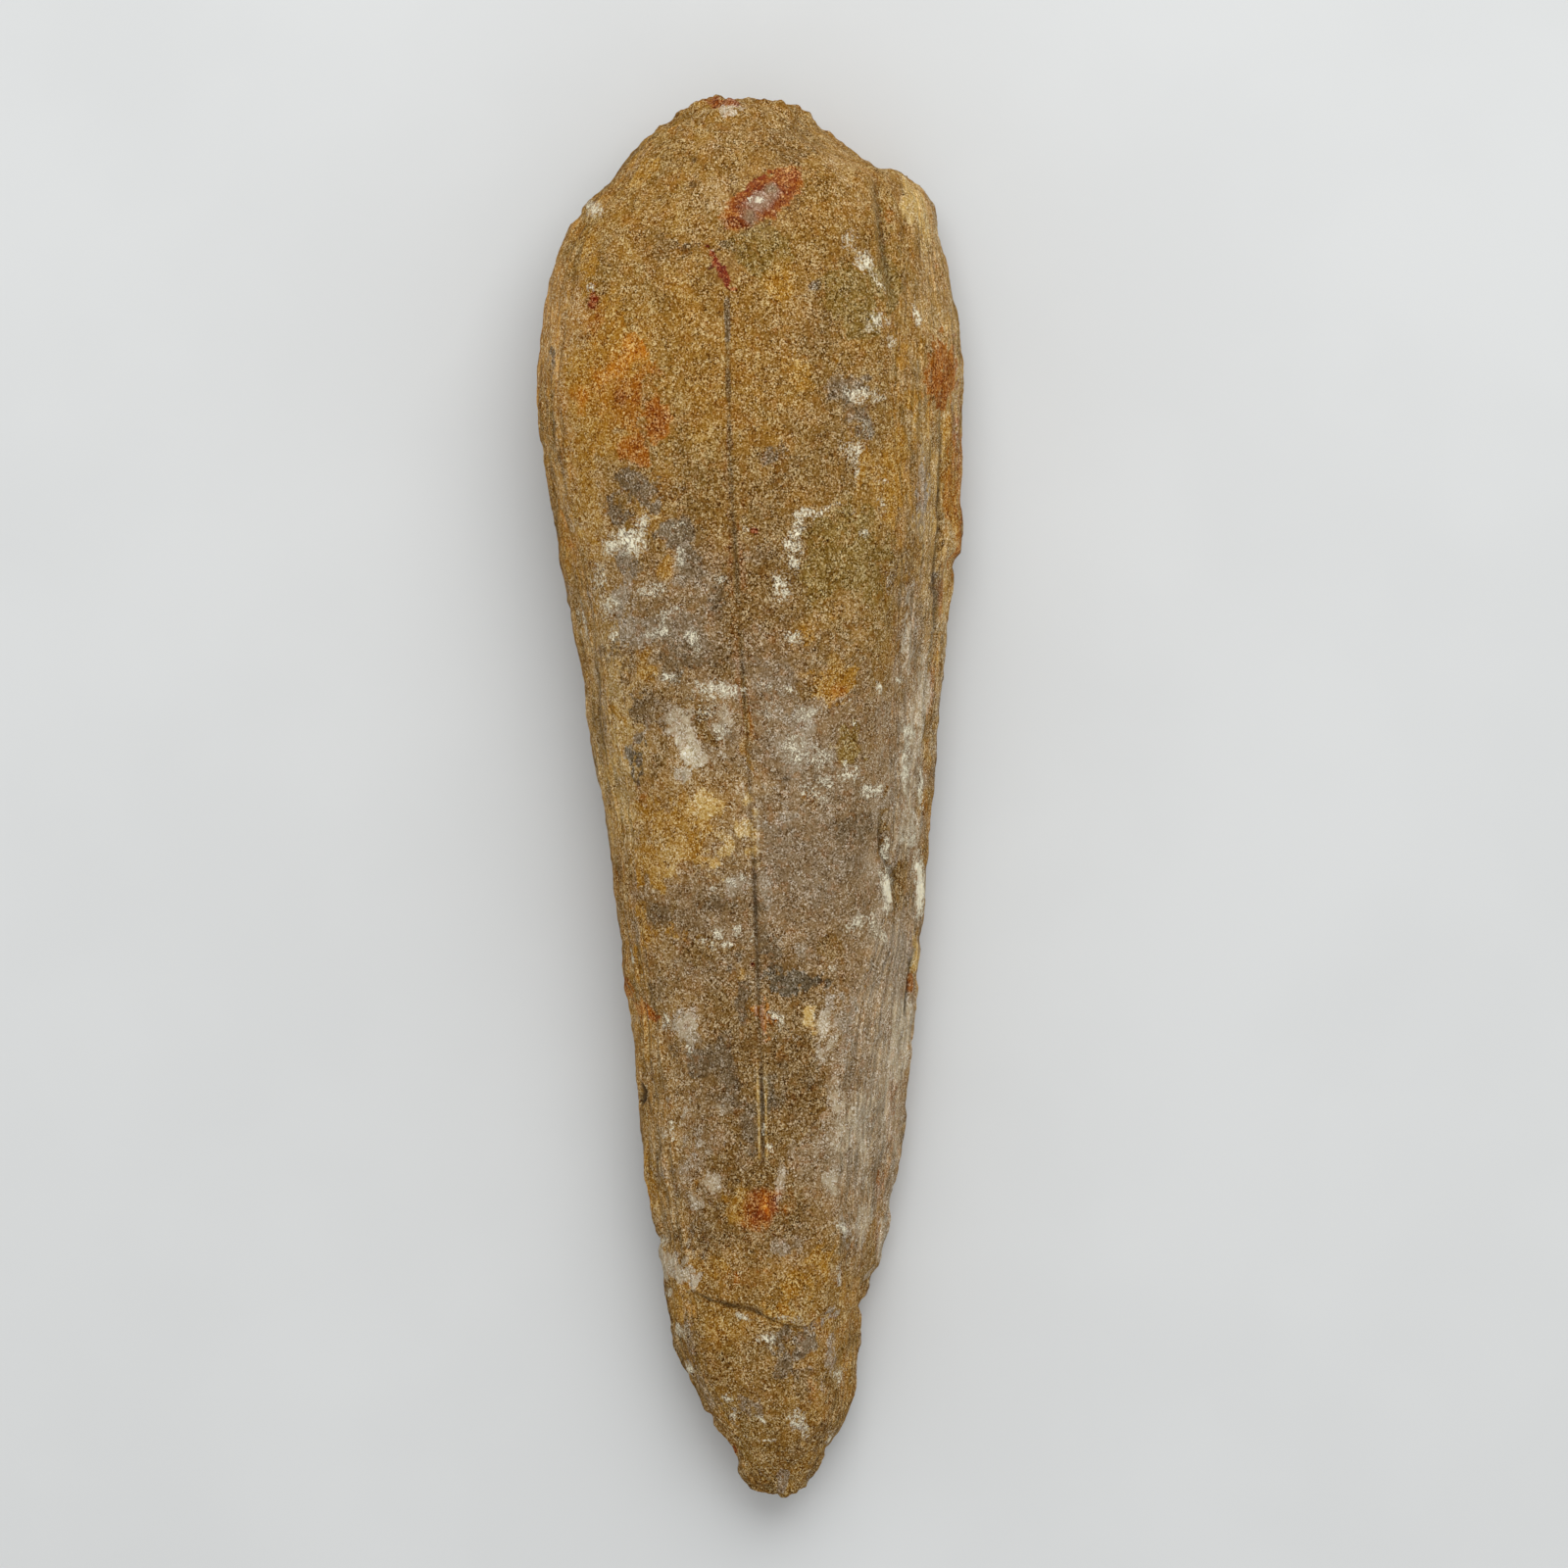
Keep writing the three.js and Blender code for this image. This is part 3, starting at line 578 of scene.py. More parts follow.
def colour(name, description, red, green, blue):
    """A colour setting whose default is given as it looks on a screen, from 0 to 255."""
    on_screen = Color((red / 255, green / 255, blue / 255))
    return bpy.props.FloatVectorProperty(
        name=name,
        description=description,
        default=on_screen.from_srgb_to_scene_linear(),
        min=0.0,
        max=1.0,
        subtype="COLOR",
    )


class ToothSettings(bpy.types.PropertyGroup):
    """How deeply the tooth is carved, and the colours of its stone, stains and crust."""

    groove_depth: bpy.props.FloatProperty(
        name="Groove Depth",
        description="How deep the fine groove down the middle of the face is cut",
        default=0.3 * MM,
        min=0.0,
        max=2 * MM,
        precision=5,
        unit="LENGTH",
    )
    layer_height: bpy.props.FloatProperty(
        name="Layer Height",
        description="How far each layer of the worn sides stands above the next",
        default=0.45 * MM,
        min=0.0,
        max=2 * MM,
        precision=5,
        unit="LENGTH",
    )
    weathering: bpy.props.FloatProperty(
        name="Weathering",
        description="How uneven the worn stone is, where 1 is as the real tooth is",
        default=1.0,
        min=0.0,
        max=3.0,
        subtype="FACTOR",
    )
    ground: colour("Ground", "Tan stone that the stains lie on", 146, 108, 43)
    buff: colour("Buff", "Pinkish, paler stone", 163, 129, 74)
    ochre: colour("Ochre", "Yellow-brown iron stain", 158, 113, 36)
    orange: colour("Orange", "Orange iron stain", 157, 92, 20)
    flame: colour("Flame", "Brightest orange, on the rust spot", 200, 118, 20)
    rust: colour("Rust", "Red-brown iron stain", 126, 59, 11)
    red: colour("Red", "Dark red iron stain", 116, 32, 3)
    umber: colour("Umber", "Dark brown stain", 122, 90, 42)
    drab: colour("Drab", "Grey-brown stone", 133, 112, 84)
    olive: colour("Olive", "Greenish brown stone", 128, 99, 41)
    slate: colour("Slate", "Dark grey-brown stone", 112, 92, 64)
    slateblue: colour("Blue Slate", "Darkest, bluish grey stone", 96, 82, 60)
    lilac: colour("Lilac", "Pale grey stone with a touch of pink", 154, 137, 112)
    cream: colour("Cream", "Pale yellow mineral", 196, 164, 98)
    calcite: colour("Calcite", "Smooth pale grey mineral", 184, 168, 140)
    crust: colour("Crust", "White mineral crust", 245, 237, 209)


class StageSettings(bpy.types.PropertyGroup):
    """The table and the light over it."""

    table_colour: colour("Table", "The table's pale surface", 210, 212, 212)
    lamp_power: bpy.props.FloatProperty(
        name="Lamp Power",
        description="Power of the large soft lamp overhead",
        default=7.0,
        min=0.0,
        unit="POWER",
    )
    lamp_size: bpy.props.FloatProperty(
        name="Lamp Size",
        description="Side of the square lamp, which sets how soft the shadow is",
        default=1.0,
        min=0.1,
        unit="LENGTH",
    )
    room_light: bpy.props.FloatProperty(
        name="Room Light",
        description="Strength of the even light from the rest of the room",
        default=0.64,
        min=0.0,
    )


# ---------------------------------------------------------------------------------------------
# Shaping tools
# ---------------------------------------------------------------------------------------------


def smoothstep(low, high, values):
    """0 at low, 1 at high and a smooth change between them; low may be the larger."""
    share = np.clip((values - low) / (high - low), 0, 1)
    return share * share * (3 - 2 * share)


def follow(x, y, path):
    """Each point's distance from a path, and how far along the path it lies, from 0 to 1."""
    corners = np.array(path, float)
    steps = np.hypot(*np.diff(corners, axis=0).T)
    starts = np.concatenate([[0], np.cumsum(steps)])
    distance = np.full(len(x), np.inf)
    along = np.zeros(len(x))
    for (ax, ay), (bx, by), start, step in zip(corners, corners[1:], starts, steps):
        share = ((x - ax) * (bx - ax) + (y - ay) * (by - ay)) / step**2
        share = np.clip(share, 0, 1)
        gap = np.hypot(x - ax - share * (bx - ax), y - ay - share * (by - ay))
        nearer = gap < distance
        distance[nearer] = gap[nearer]
        along[nearer] = (start + share[nearer] * step) / starts[-1]
    return distance, along


def across_at(path, y):
    """The x of a lengthwise path beside each y."""
    corners = sorted((corner_y, corner_x) for corner_x, corner_y in path)
    return np.interp(y, *zip(*corners))


def at_vertices(mesh, name):
    """A property of the mesh's vertices, as rows of three numbers."""
    flat = np.empty(len(mesh.vertices) * 3)
    mesh.vertices.foreach_get(name, flat)
    return flat.reshape(-1, 3)


class Skin:
    """The tooth's surface as arrays, in mm, with what is carved into it so far."""

    def __init__(self, mesh):
        count = len(mesh.vertices)
        self.points = at_vertices(mesh, "co") / MM
        self.normals = at_vertices(mesh, "normal")
        self.x, self.y = self.points[:, 0], self.points[:, 1]
        self.facing_up = self.normals[:, 2]
        self.up = self.facing_up > 0
        self.on_face = smoothstep(-0.25, 0.1, self.facing_up)
        self.hidden = smoothstep(0.1, -0.3, self.facing_up)
        self.lift = np.zeros(count)
        self.hollow_shade = np.zeros(count)
        self.measure_sides()
        self.wander_x = 0.7 * self.clouds(5, 3, 1.0, seed=6) + 0.25 * self.clouds(1.5, 2, 1.0, seed=7)
        self.wander_y = 0.7 * self.clouds(5, 3, 1.0, seed=8) + 0.25 * self.clouds(1.5, 2, 1.0, seed=9)

    def measure_sides(self):
        """How far each point lies across the worn layers of the right and the left side."""
        row_middles = np.arange(-99.5, 100, 1)
        rows = [self.x[abs(self.y - middle) < 1.2] for middle in row_middles]
        left_edge = np.interp(self.y, row_middles, [row.min() for row in rows])
        right_edge = np.interp(self.y, row_middles, [row.max() for row in rows])
        shoulder = across_at(SHOULDER, self.y)
        right = (self.x - shoulder) / np.maximum(right_edge - shoulder, 1)
        left = 1 - (self.x - left_edge) / LEFT_STRIP
        # past the edge, on the underside, the layers run back from 1 to 2
        below = self.facing_up < 0
        self.right = np.where(below & (right > 0), 2 - right, right)
        self.left = np.where(below & (left > 0), 2 - left, left)
        self.from_edge = np.minimum(self.x - left_edge, right_edge - self.x)

    def clouds(self, size, octaves=3, stretch=1.0, seed=0):
        """Soft noise, mostly -1 to 1, in lumps of about size mm, stretched along the tooth."""
        where = self.points / (size, size * stretch, size) + (seed * 17.3, seed * 9.1, seed * 5.7)
        values = np.array([noise.fractal(p, 1.0, 2.0, octaves) for p in where.tolist()])
        return np.clip((values - values.mean()) / values.std(), -2.5, 2.5)

    def near(self, path, width, fade=0.3):
        """1 on a path and 0 beyond half of width, fading out over its ends."""
        distance, along = follow(self.x, self.y, path)
        ends = smoothstep(0, fade, along) * smoothstep(1, 1 - fade, along) if fade else 1
        return smoothstep(width / 2, 0, distance) * ends * self.up

    def spot(self, x, y, half_width, half_length, turn=0.0, wander=0.0):
        """Each point's distance from the middle of an oval, where 1 is on its rim. The turn is
        in degrees, anticlockwise, and wander pulls the oval out of shape by up to that many mm."""
        cosine = math.cos(math.radians(turn))
        sine = math.sin(math.radians(turn))
        from_x = self.x - x + wander * self.wander_x
        from_y = self.y - y + wander * self.wander_y
        across = from_x * cosine + from_y * sine
        along = from_y * cosine - from_x * sine
        return np.hypot(across / half_width, along / half_length)

    def dot(self, x, y, radius, flat_share=0.3):
        """1 over the flat share of a round dot, and 0 outside it."""
        return smoothstep(1.0, flat_share, self.spot(x, y, radius, radius))

    def paint_shade(self, mask):
        """Paints shade into hollows, cracks and drops, where 1 is the darkest."""
        self.hollow_shade = np.maximum(self.hollow_shade, mask)


# ---------------------------------------------------------------------------------------------
# The tooth's mesh
# ---------------------------------------------------------------------------------------------


def split(bm, faces, cuts):
    """Cuts faces into a finer grid that keeps the curve of the surface."""
    edges = list({edge for face in faces for edge in face.edges})
    bmesh.ops.subdivide_edges(bm, edges=edges, cuts=cuts, smooth=1.0, use_grid_fill=True)
    bm.normal_update()


def relax(bm, times):
    """Evens out the surface a little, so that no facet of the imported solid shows."""
    for _ in range(times):
        bmesh.ops.smooth_vert(
            bm, verts=bm.verts, factor=0.5, use_axis_x=True, use_axis_y=True, use_axis_z=True
        )
    bm.normal_update()


def faces_near(bm, paths, reach):
    """The upward faces whose middle lies within reach, in mm, of any of the paths."""
    faces = [face for face in bm.faces if face.normal.z > 0.1]
    middles = np.array([face.calc_center_median()[:2] for face in faces]) / MM
    gaps = [follow(middles[:, 0], middles[:, 1], path)[0] for path in paths]
    close = np.min(gaps, axis=0) < reach
    return [face for face, is_close in zip(faces, close) if is_close]


def packed_skin():
    """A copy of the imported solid's surface, merged and turned back into four-sided faces."""
    bm = bmesh.new()
    bm.from_mesh(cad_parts["tooth"].data)
    bmesh.ops.remove_doubles(bm, verts=bm.verts, dist=0.01 * MM)
    flat_enough = math.radians(60)
    bmesh.ops.join_triangles(
        bm,
        faces=bm.faces,
        angle_face_threshold=flat_enough,
        angle_shape_threshold=flat_enough,
    )
    bm.normal_update()
    return bm


def refine(bm):
    """Makes the mesh fine where the tooth shows most, and finest along its cracks."""
    split(bm, bm.faces, 1)
    relax(bm, 2)
    split(bm, [face for face in bm.faces if face.normal.z > -0.1], 2)
    relax(bm, 2)
    split(bm, faces_near(bm, [GROOVE, BREAK, CREVICE, EDGE_CHIP], 0.8), 1)
    many_sided = [face for face in bm.faces if len(face.verts) > 4]
    bmesh.ops.triangulate(bm, faces=many_sided)


# ---------------------------------------------------------------------------------------------
# Carving: each function adds to the skin's lift, in mm along its normals
# ---------------------------------------------------------------------------------------------


def weather(skin, amount):
    """Broad waves, lumps and fine roughness all over, coarser at the root, the tip and the rim."""
    skin.lift += amount * 0.2 * skin.clouds(18, 2, 1.4, seed=1)
    skin.lift += amount * 0.09 * skin.clouds(4.5, 2, 1.3, seed=2)
    skin.lift += amount * 0.05 * skin.clouds(1.6, 3, 1.0, seed=3)
    broken = smoothstep(93, 98.5, skin.y) + smoothstep(-96, -99, skin.y)
    skin.lift += amount * 0.3 * broken * skin.clouds(2.6, 3, 1.0, seed=4)
    rim = smoothstep(2.2, 0.3, skin.from_edge) * (0.4 + 0.6 * smoothstep(0, -50, skin.y))
    skin.lift += amount * 0.13 * rim * skin.clouds(4.2, 4, 1.0, seed=5)


def stack_layers(skin, side, count, height, seed):
    """Worn edges of layers along a side: each rises outwards and drops to the next, with painted
    shade at each drop.
    """
    wander = skin.clouds(22, 2, 3.0, seed) * 0.3 + skin.clouds(5, 2, 3.0, seed + 1) * 0.12
    level = side * count + wander
    layer = np.floor(level)
    share = level - layer
    strength = 0.5 + 0.5 * np.sin(layer * 12.9 + seed)
    worn = np.clip(0.6 + 0.5 * skin.clouds(9, 2, 2.5, seed + 2), 0, 1)
    on_side = smoothstep(-0.05, 0.12, side) * smoothstep(2.0, 1.7, side)
    step = share - smoothstep(0.72, 1.0, share)
    skin.lift += height * step * strength * worn * on_side
    # Painted shade where each layer drops to the next.
    edge = smoothstep(0.78, 0.9, share) * smoothstep(1.0, 0.9, share)
    skin.paint_shade(0.5 * edge * strength * worn * on_side)
    return layer, on_side


def carve_groove(skin, depth):
    """The fine groove down the face, its open crack and the two threads that stand beside it."""
    line = skin.near(GROOVE, 1.0, fade=0.04)
    worn = np.clip(0.75 + 0.3 * skin.clouds(6, 2, 2.0, seed=11), 0.25, 1)
    lower = smoothstep(30, 5, skin.y)
    skin.lift -= depth * line * worn * (0.6 + 0.4 * lower)
    # The groove is painted dark with shade.
    skin.paint_shade(line * worn * (0.62 + 0.13 * lower))
    open_parts = np.clip(0.6 + 0.4 * skin.clouds(1.0, 2, seed=12), 0, 1)
    crack = skin.near(CRACK, 0.6, fade=0.15) * open_parts
    skin.lift -= CRACK_DEPTH * crack
    # Painted shade in the open crack.
    skin.paint_shade(0.9 * crack)
    distance = follow(skin.x, skin.y, GROOVE)[0]
    beside = smoothstep(0.22, 0.0, abs(distance - 0.42))
    stretch = smoothstep(-33, -38, skin.y) * smoothstep(-53, -49, skin.y)
    skin.lift += GROOVE_THREAD_HEIGHT * beside * stretch * skin.up


def carve_gully(skin):
    """The trough at the root's right corner, which leaves a lobe standing beyond it, with painted
    shade along its middle.
    """
    skin.lift -= GULLY_DEPTH * skin.near(GULLY, 3.4, fade=0.25)
    # Painted shade along the trough's middle.
    skin.paint_shade(0.5 * skin.near(GULLY, 1.5, fade=0.25))


def carve_edges(skin):
    """The flake, chip and lobe of the left edge, the folds and thread of the right side, and the
    swellings and bites of the outline."""
    for path, width, depth, dark in (
        (EDGE_FLAKE, 1.2, 0.35, 0.6),
        (EDGE_CHIP, 1.4, 0.8, 1.0),
        (EDGE_LOBE, 1.2, 0.4, 0.5),
        (OUTER_LAYER, 0.9, 0.35, 0.6),
        (LOWER_FOLD, 1.5, 0.6, 0.6),
        (CREVICE, 1.3, 0.7, 0.9),
    ):
        line = skin.near(path, width)
        skin.lift -= depth * line
        # Painted shade along each cut.
        skin.paint_shade(dark * smoothstep(0.2, 0.9, line))
    skin.lift += THREAD_HEIGHT * skin.near(THREAD, 0.6)
    for *oval, height in SWELLINGS:
        skin.lift += height * smoothstep(1.3, 0.2, skin.spot(*oval))
    for x, y, radius, depth in EDGE_BITES:
        skin.lift -= depth * skin.dot(x, y, radius, 0.2)


def carve_break(skin):
    """The healed break near the tip: a low step with a trough, a seam, a thread and crystals, with
    painted shade in the trough and the seam.
    """
    above = skin.y - across_at([(y, x) for x, y in BREAK], skin.x)
    tip_side = smoothstep(0.3, -0.5, above) * smoothstep(-14, -2, above)
    skin.lift -= BREAK_STEP * tip_side * skin.up
    trough = skin.near(BREAK_TROUGH, 1.7)
    skin.lift -= BREAK_TROUGH_DEPTH * trough
    # Painted shade in the trough.
    skin.paint_shade(0.5 * smoothstep(0.2, 0.9, trough))
    open_parts = np.clip(0.6 + 0.5 * skin.clouds(2.4, 2, 1.0, seed=21), 0.2, 1)
    open_parts *= smoothstep(-9, -6.5, skin.x) * smoothstep(12.5, 10, skin.x)
    seam = skin.near(BREAK, 0.7, fade=0.05) * open_parts
    skin.lift -= BREAK_SEAM_DEPTH * seam
    # Painted shade in the open seam.
    skin.paint_shade(0.8 * seam)
    skin.lift += BREAK_THREAD_HEIGHT * skin.near(BREAK_THREAD, 0.8)
    for x, y, radius in CRYSTALS:
        skin.lift += CRYSTAL_HEIGHT * skin.dot(x, y, radius)


def carve_pits(skin):
    """Small round pits in the face, painted dark with shade."""
    for x, y, radius in PITS:
        pit = skin.dot(x, y, radius) * skin.up
        skin.lift -= PIT_DEPTH * pit
        # Painted shade in the pit.
        skin.paint_shade(0.6 * pit)


def raise_nodule(skin):
    """The shiny rust nodule on the root: a low dome with a lumpy top and a ragged rim."""
    ragged = skin.spot(*NODULE) + 0.1 * skin.clouds(1.8, 2, seed=31)
    dome = smoothstep(1.05, 0.35, ragged) * skin.up
    skin.lift += NODULE_HEIGHT * dome * (1 + 0.35 * skin.clouds(1.3, 2, seed=32))


def carve(skin, settings):
    """Everything that is carved into the tooth. Returns where the layers of the sides lie."""
    weather(skin, settings.weathering)
    height = settings.layer_height / MM
    layers = stack_layers(skin, skin.right, RIGHT_LAYERS, height, seed=41)
    strips = stack_layers(skin, skin.left, LEFT_LAYERS, 0.8 * height, seed=51)
    carve_groove(skin, settings.groove_depth / MM)
    carve_gully(skin)
    carve_edges(skin)
    carve_break(skin)
    carve_pits(skin)
    raise_nodule(skin)
    return layers, strips


def settle(skin, mesh):
    """Moves the mesh to its carved shape, with nothing below the surface it rests on."""
    carved = skin.points + skin.normals * skin.lift[:, None]
    carved[:, 2] = np.maximum(carved[:, 2], 0)
    mesh.vertices.foreach_set("co", (carved * MM).ravel())
    mesh.update()


# ---------------------------------------------------------------------------------------------
# Staining
# ---------------------------------------------------------------------------------------------


class Wash:
    """Stains laid over each other: their colour, how much of the ground they cover, and how far
    they are the smooth stone that shows where the sandy coat has worn off."""

    def __init__(self, settings, count):
        self.settings = settings
        self.colour = np.zeros((count, 3))
        self.cover = np.zeros(count)
        self.smooth = np.zeros(count)

    def lay(self, name, mask):
        """Lays one more stain on top, where the mask is above 0."""
        share = np.clip(mask, 0, 1)
        self.colour += share[:, None] * (np.array(getattr(self.settings, name)) - self.colour)
        self.cover += share * (1 - self.cover)
        self.smooth += share * ((name in SMOOTH_STAINS) - self.smooth)

    def over(self, shades):
        """The stain's own colour at each point, taken apart from the bare ground."""
        cover = np.maximum(self.cover, 0.001)[:, None]
        return np.clip(np.where(self.cover[:, None] > 0.001, self.colour / cover, shades), 0, 1)


def lay_ground(skin, settings):
    """The bare stone: tan, drifting to pinkish, yellow and brown, with its broad washes."""
    bare = Wash(settings, len(skin.x))
    bare.lay("ground", np.ones(len(skin.x)))
    for name, size, seed, strength in (
        ("buff", 13, 61, 0.25),
        ("ochre", 10, 62, 0.3),
        ("umber", 7, 63, 0.4),
        ("olive", 9, 64, 0.2),
        ("orange", 2.6, 65, 0.22),
        ("buff", 2.2, 66, 0.2),
        ("umber", 1.8, 67, 0.22),
    ):
        bare.lay(name, strength * smoothstep(0.0, 1.6, skin.clouds(size, 3, 1.3, seed)))
    for name, *place, strength in WASHES:
        oval = skin.spot(*place, wander=1.5)
        bare.lay(name, strength * smoothstep(1.3, 0.4, oval) * skin.on_face)
    bare.colour *= 1 + 0.07 * skin.clouds(3.5, 3, 1.2, seed=68)[:, None]
    return bare


def lay_face_stains(skin, wash):
    """The stains of the face. Each is an oval that breaks up where it is weak: its strength is
    the share of the surface that it covers, in patches with crisp rims."""
    fine = [skin.clouds(1.3, 4, 1.1, seed) for seed in (71, 72, 73)]
    coarse = [skin.clouds(4.5, 5, 1.2, seed) for seed in (74, 75, 76)]
    for index, (name, *place, strength) in enumerate(STAINS):
        narrow = min(place[2:4])
        ragged = (fine if narrow < 2.2 else coarse)[index % 3] * (-1) ** (index // 3)
        oval = skin.spot(*place, wander=min(1.0, 0.35 * narrow))
        share = strength * smoothstep(1.35, 0.5, oval + 0.12 * fine[index % 3])
        patches = smoothstep(0.25, 0.6, share + 0.25 * ragged) * smoothstep(0.0, 0.15, share)
        mask = 0.35 * share + (0.3 + 0.35 * strength) * patches
        wash.lay(name, mask * skin.on_face)


def lay_groove_lines(skin, wash):
    """The narrow stains in the groove and on the ridges beside it; the pale lines on the ridges are
    painted highlight.
    """
    distance = follow(skin.x, skin.y, GROOVE)[0]
    worn = np.clip(0.7 + 0.4 * skin.clouds(2.5, 3, 2.0, seed=98), 0, 1) * skin.up
    for name, aside, half_width, top, bottom, strength in GROOVE_LINES:
        line = smoothstep(half_width, 0.3 * half_width, abs(distance - aside))
        stretch = smoothstep(top, top - 2, skin.y) * smoothstep(bottom, bottom + 2, skin.y)
        wash.lay(name, strength * line * stretch * worn)


def lay_layer_stains(skin, wash, layers, strips):
    """A tint of its own for each layer of the sides, stronger where the sides turn under."""
    tints = ("buff", "lilac", "ochre", "umber", "buff", "slate", "orange", "lilac")
    strength = 0.3 + 0.4 * smoothstep(0.3, -0.1, skin.facing_up)
    for (layer, on_side), seed in ((layers, 81), (strips, 85)):
        patchy = smoothstep(-0.8, 0.6, skin.clouds(10, 2, 3.0, seed))
        for index, name in enumerate(tints):
            wash.lay(name, strength * on_side * patchy * (np.mod(layer, len(tints)) == index))


def lay_hidden_stains(skin, wash):
    """Broad stains on the underside and low on the sides, of the same kinds as on the face."""
    for name, size, seed, strength, rarity in (
        ("ochre", 16, 91, 0.6, 0.9),
        ("slate", 13, 92, 0.7, 0.9),
        ("lilac", 11, 93, 0.6, 0.9),
        ("orange", 9, 94, 0.5, 0.9),
        ("olive", 12, 95, 0.5, 0.9),
        ("calcite", 7, 96, 0.5, 0.9),
        ("rust", 5, 97, 0.6, 1.9),
    ):
        mask = smoothstep(rarity, rarity + 0.7, skin.clouds(size, 3, 1.4, seed))
        wash.lay(name, strength * mask * skin.hidden)


def lay_rust(skin, wash):
    """The shiny rust: the nodule with its grey middle, and the small red strokes and dots."""
    nodule = skin.spot(*NODULE) + 0.12 * skin.clouds(1.6, 3, seed=101)
    wash.lay("orange", 0.9 * smoothstep(1.12, 0.95, nodule) * skin.up)
    wash.lay("rust", smoothstep(1.0, 0.85, nodule) * skin.up)
    bright = smoothstep(0.2, 1.2, skin.clouds(1.5, 3, seed=103)) * (nodule < 0.9)
    wash.lay("orange", 0.45 * bright * skin.up)
    rim = 0.15 * skin.clouds(0.9, 2, seed=102)
    for name, *place, strength in RUST_MARKS:
        mark = smoothstep(1.25, 0.7, skin.spot(*place) + rim)
        wash.lay(name, strength * mark * skin.up)


def crust_cover(skin):
    """How much of the surface white crust covers."""
    cover = np.zeros(len(skin.x))
    rim = 0.2 * skin.clouds(1.1, 3, 1.0, seed=111)
    for *place, amount in CRUST:
        oval = skin.spot(*place, wander=min(1.0, 0.35 * min(place[2:4]))) + rim
        cover = np.maximum(cover, amount * smoothstep(1.65, 0.3, oval))
    cover *= smoothstep(-0.2, 0.2, skin.facing_up)
    patches = smoothstep(1.3, 2.2, skin.clouds(8, 3, 1.4, seed=112))
    return np.maximum(cover, 0.7 * patches * skin.hidden)


def gloss_spots(skin):
    """How shiny the surface is: only the rust is."""
    gloss = np.zeros(len(skin.x))
    for x, y, radius, shine in GLOSS:
        gloss = np.maximum(gloss, shine * smoothstep(1.1, 0.6, skin.spot(x, y, radius, radius)))
    return gloss * skin.up


def save(mesh, name, kind, values):
    """Keeps one value for each vertex under a name that the material reads."""
    field = {"FLOAT": "value", "FLOAT_VECTOR": "vector", "FLOAT_COLOR": "color"}[kind]
    attribute = mesh.attributes.new(name, kind, "POINT")
    attribute.data.foreach_set(field, np.ascontiguousarray(values, np.float32).ravel())


def stain(skin, mesh, settings, layers, strips):
    """Works out the tooth's colours and finish at each vertex and keeps them on the mesh."""
    bare = lay_ground(skin, settings)
    wash = Wash(settings, len(skin.x))
    lay_layer_stains(skin, wash, layers, strips)
    lay_hidden_stains(skin, wash)
    lay_face_stains(skin, wash)
    lay_groove_lines(skin, wash)
    lay_rust(skin, wash)
    opaque = np.ones((len(skin.x), 1))
    save(mesh, "ground", "FLOAT_COLOR", np.hstack([np.clip(bare.colour, 0, 1), opaque]))
    save(mesh, "stain", "FLOAT_COLOR", np.hstack([wash.over(bare.colour), opaque]))
    save(mesh, "stain_cover", "FLOAT", wash.cover)
    save(mesh, "smooth", "FLOAT", wash.smooth + bare.smooth * (1 - wash.cover))
    save(mesh, "crust_cover", "FLOAT", crust_cover(skin))
    save(mesh, "gloss", "FLOAT", gloss_spots(skin))
    save(mesh, "hollow_shade", "FLOAT", skin.hollow_shade)
    on_right, on_left = layers[1], strips[1]
    across = np.where(on_right > on_left, skin.right * RIGHT_STREAKS, skin.left * LEFT_STREAKS)
    on_side = np.maximum(on_right, on_left)
    save(mesh, "fibre", "FLOAT_VECTOR", np.stack([across, skin.y, on_side], axis=1))


# ---------------------------------------------------------------------------------------------
# Materials
# ---------------------------------------------------------------------------------------------


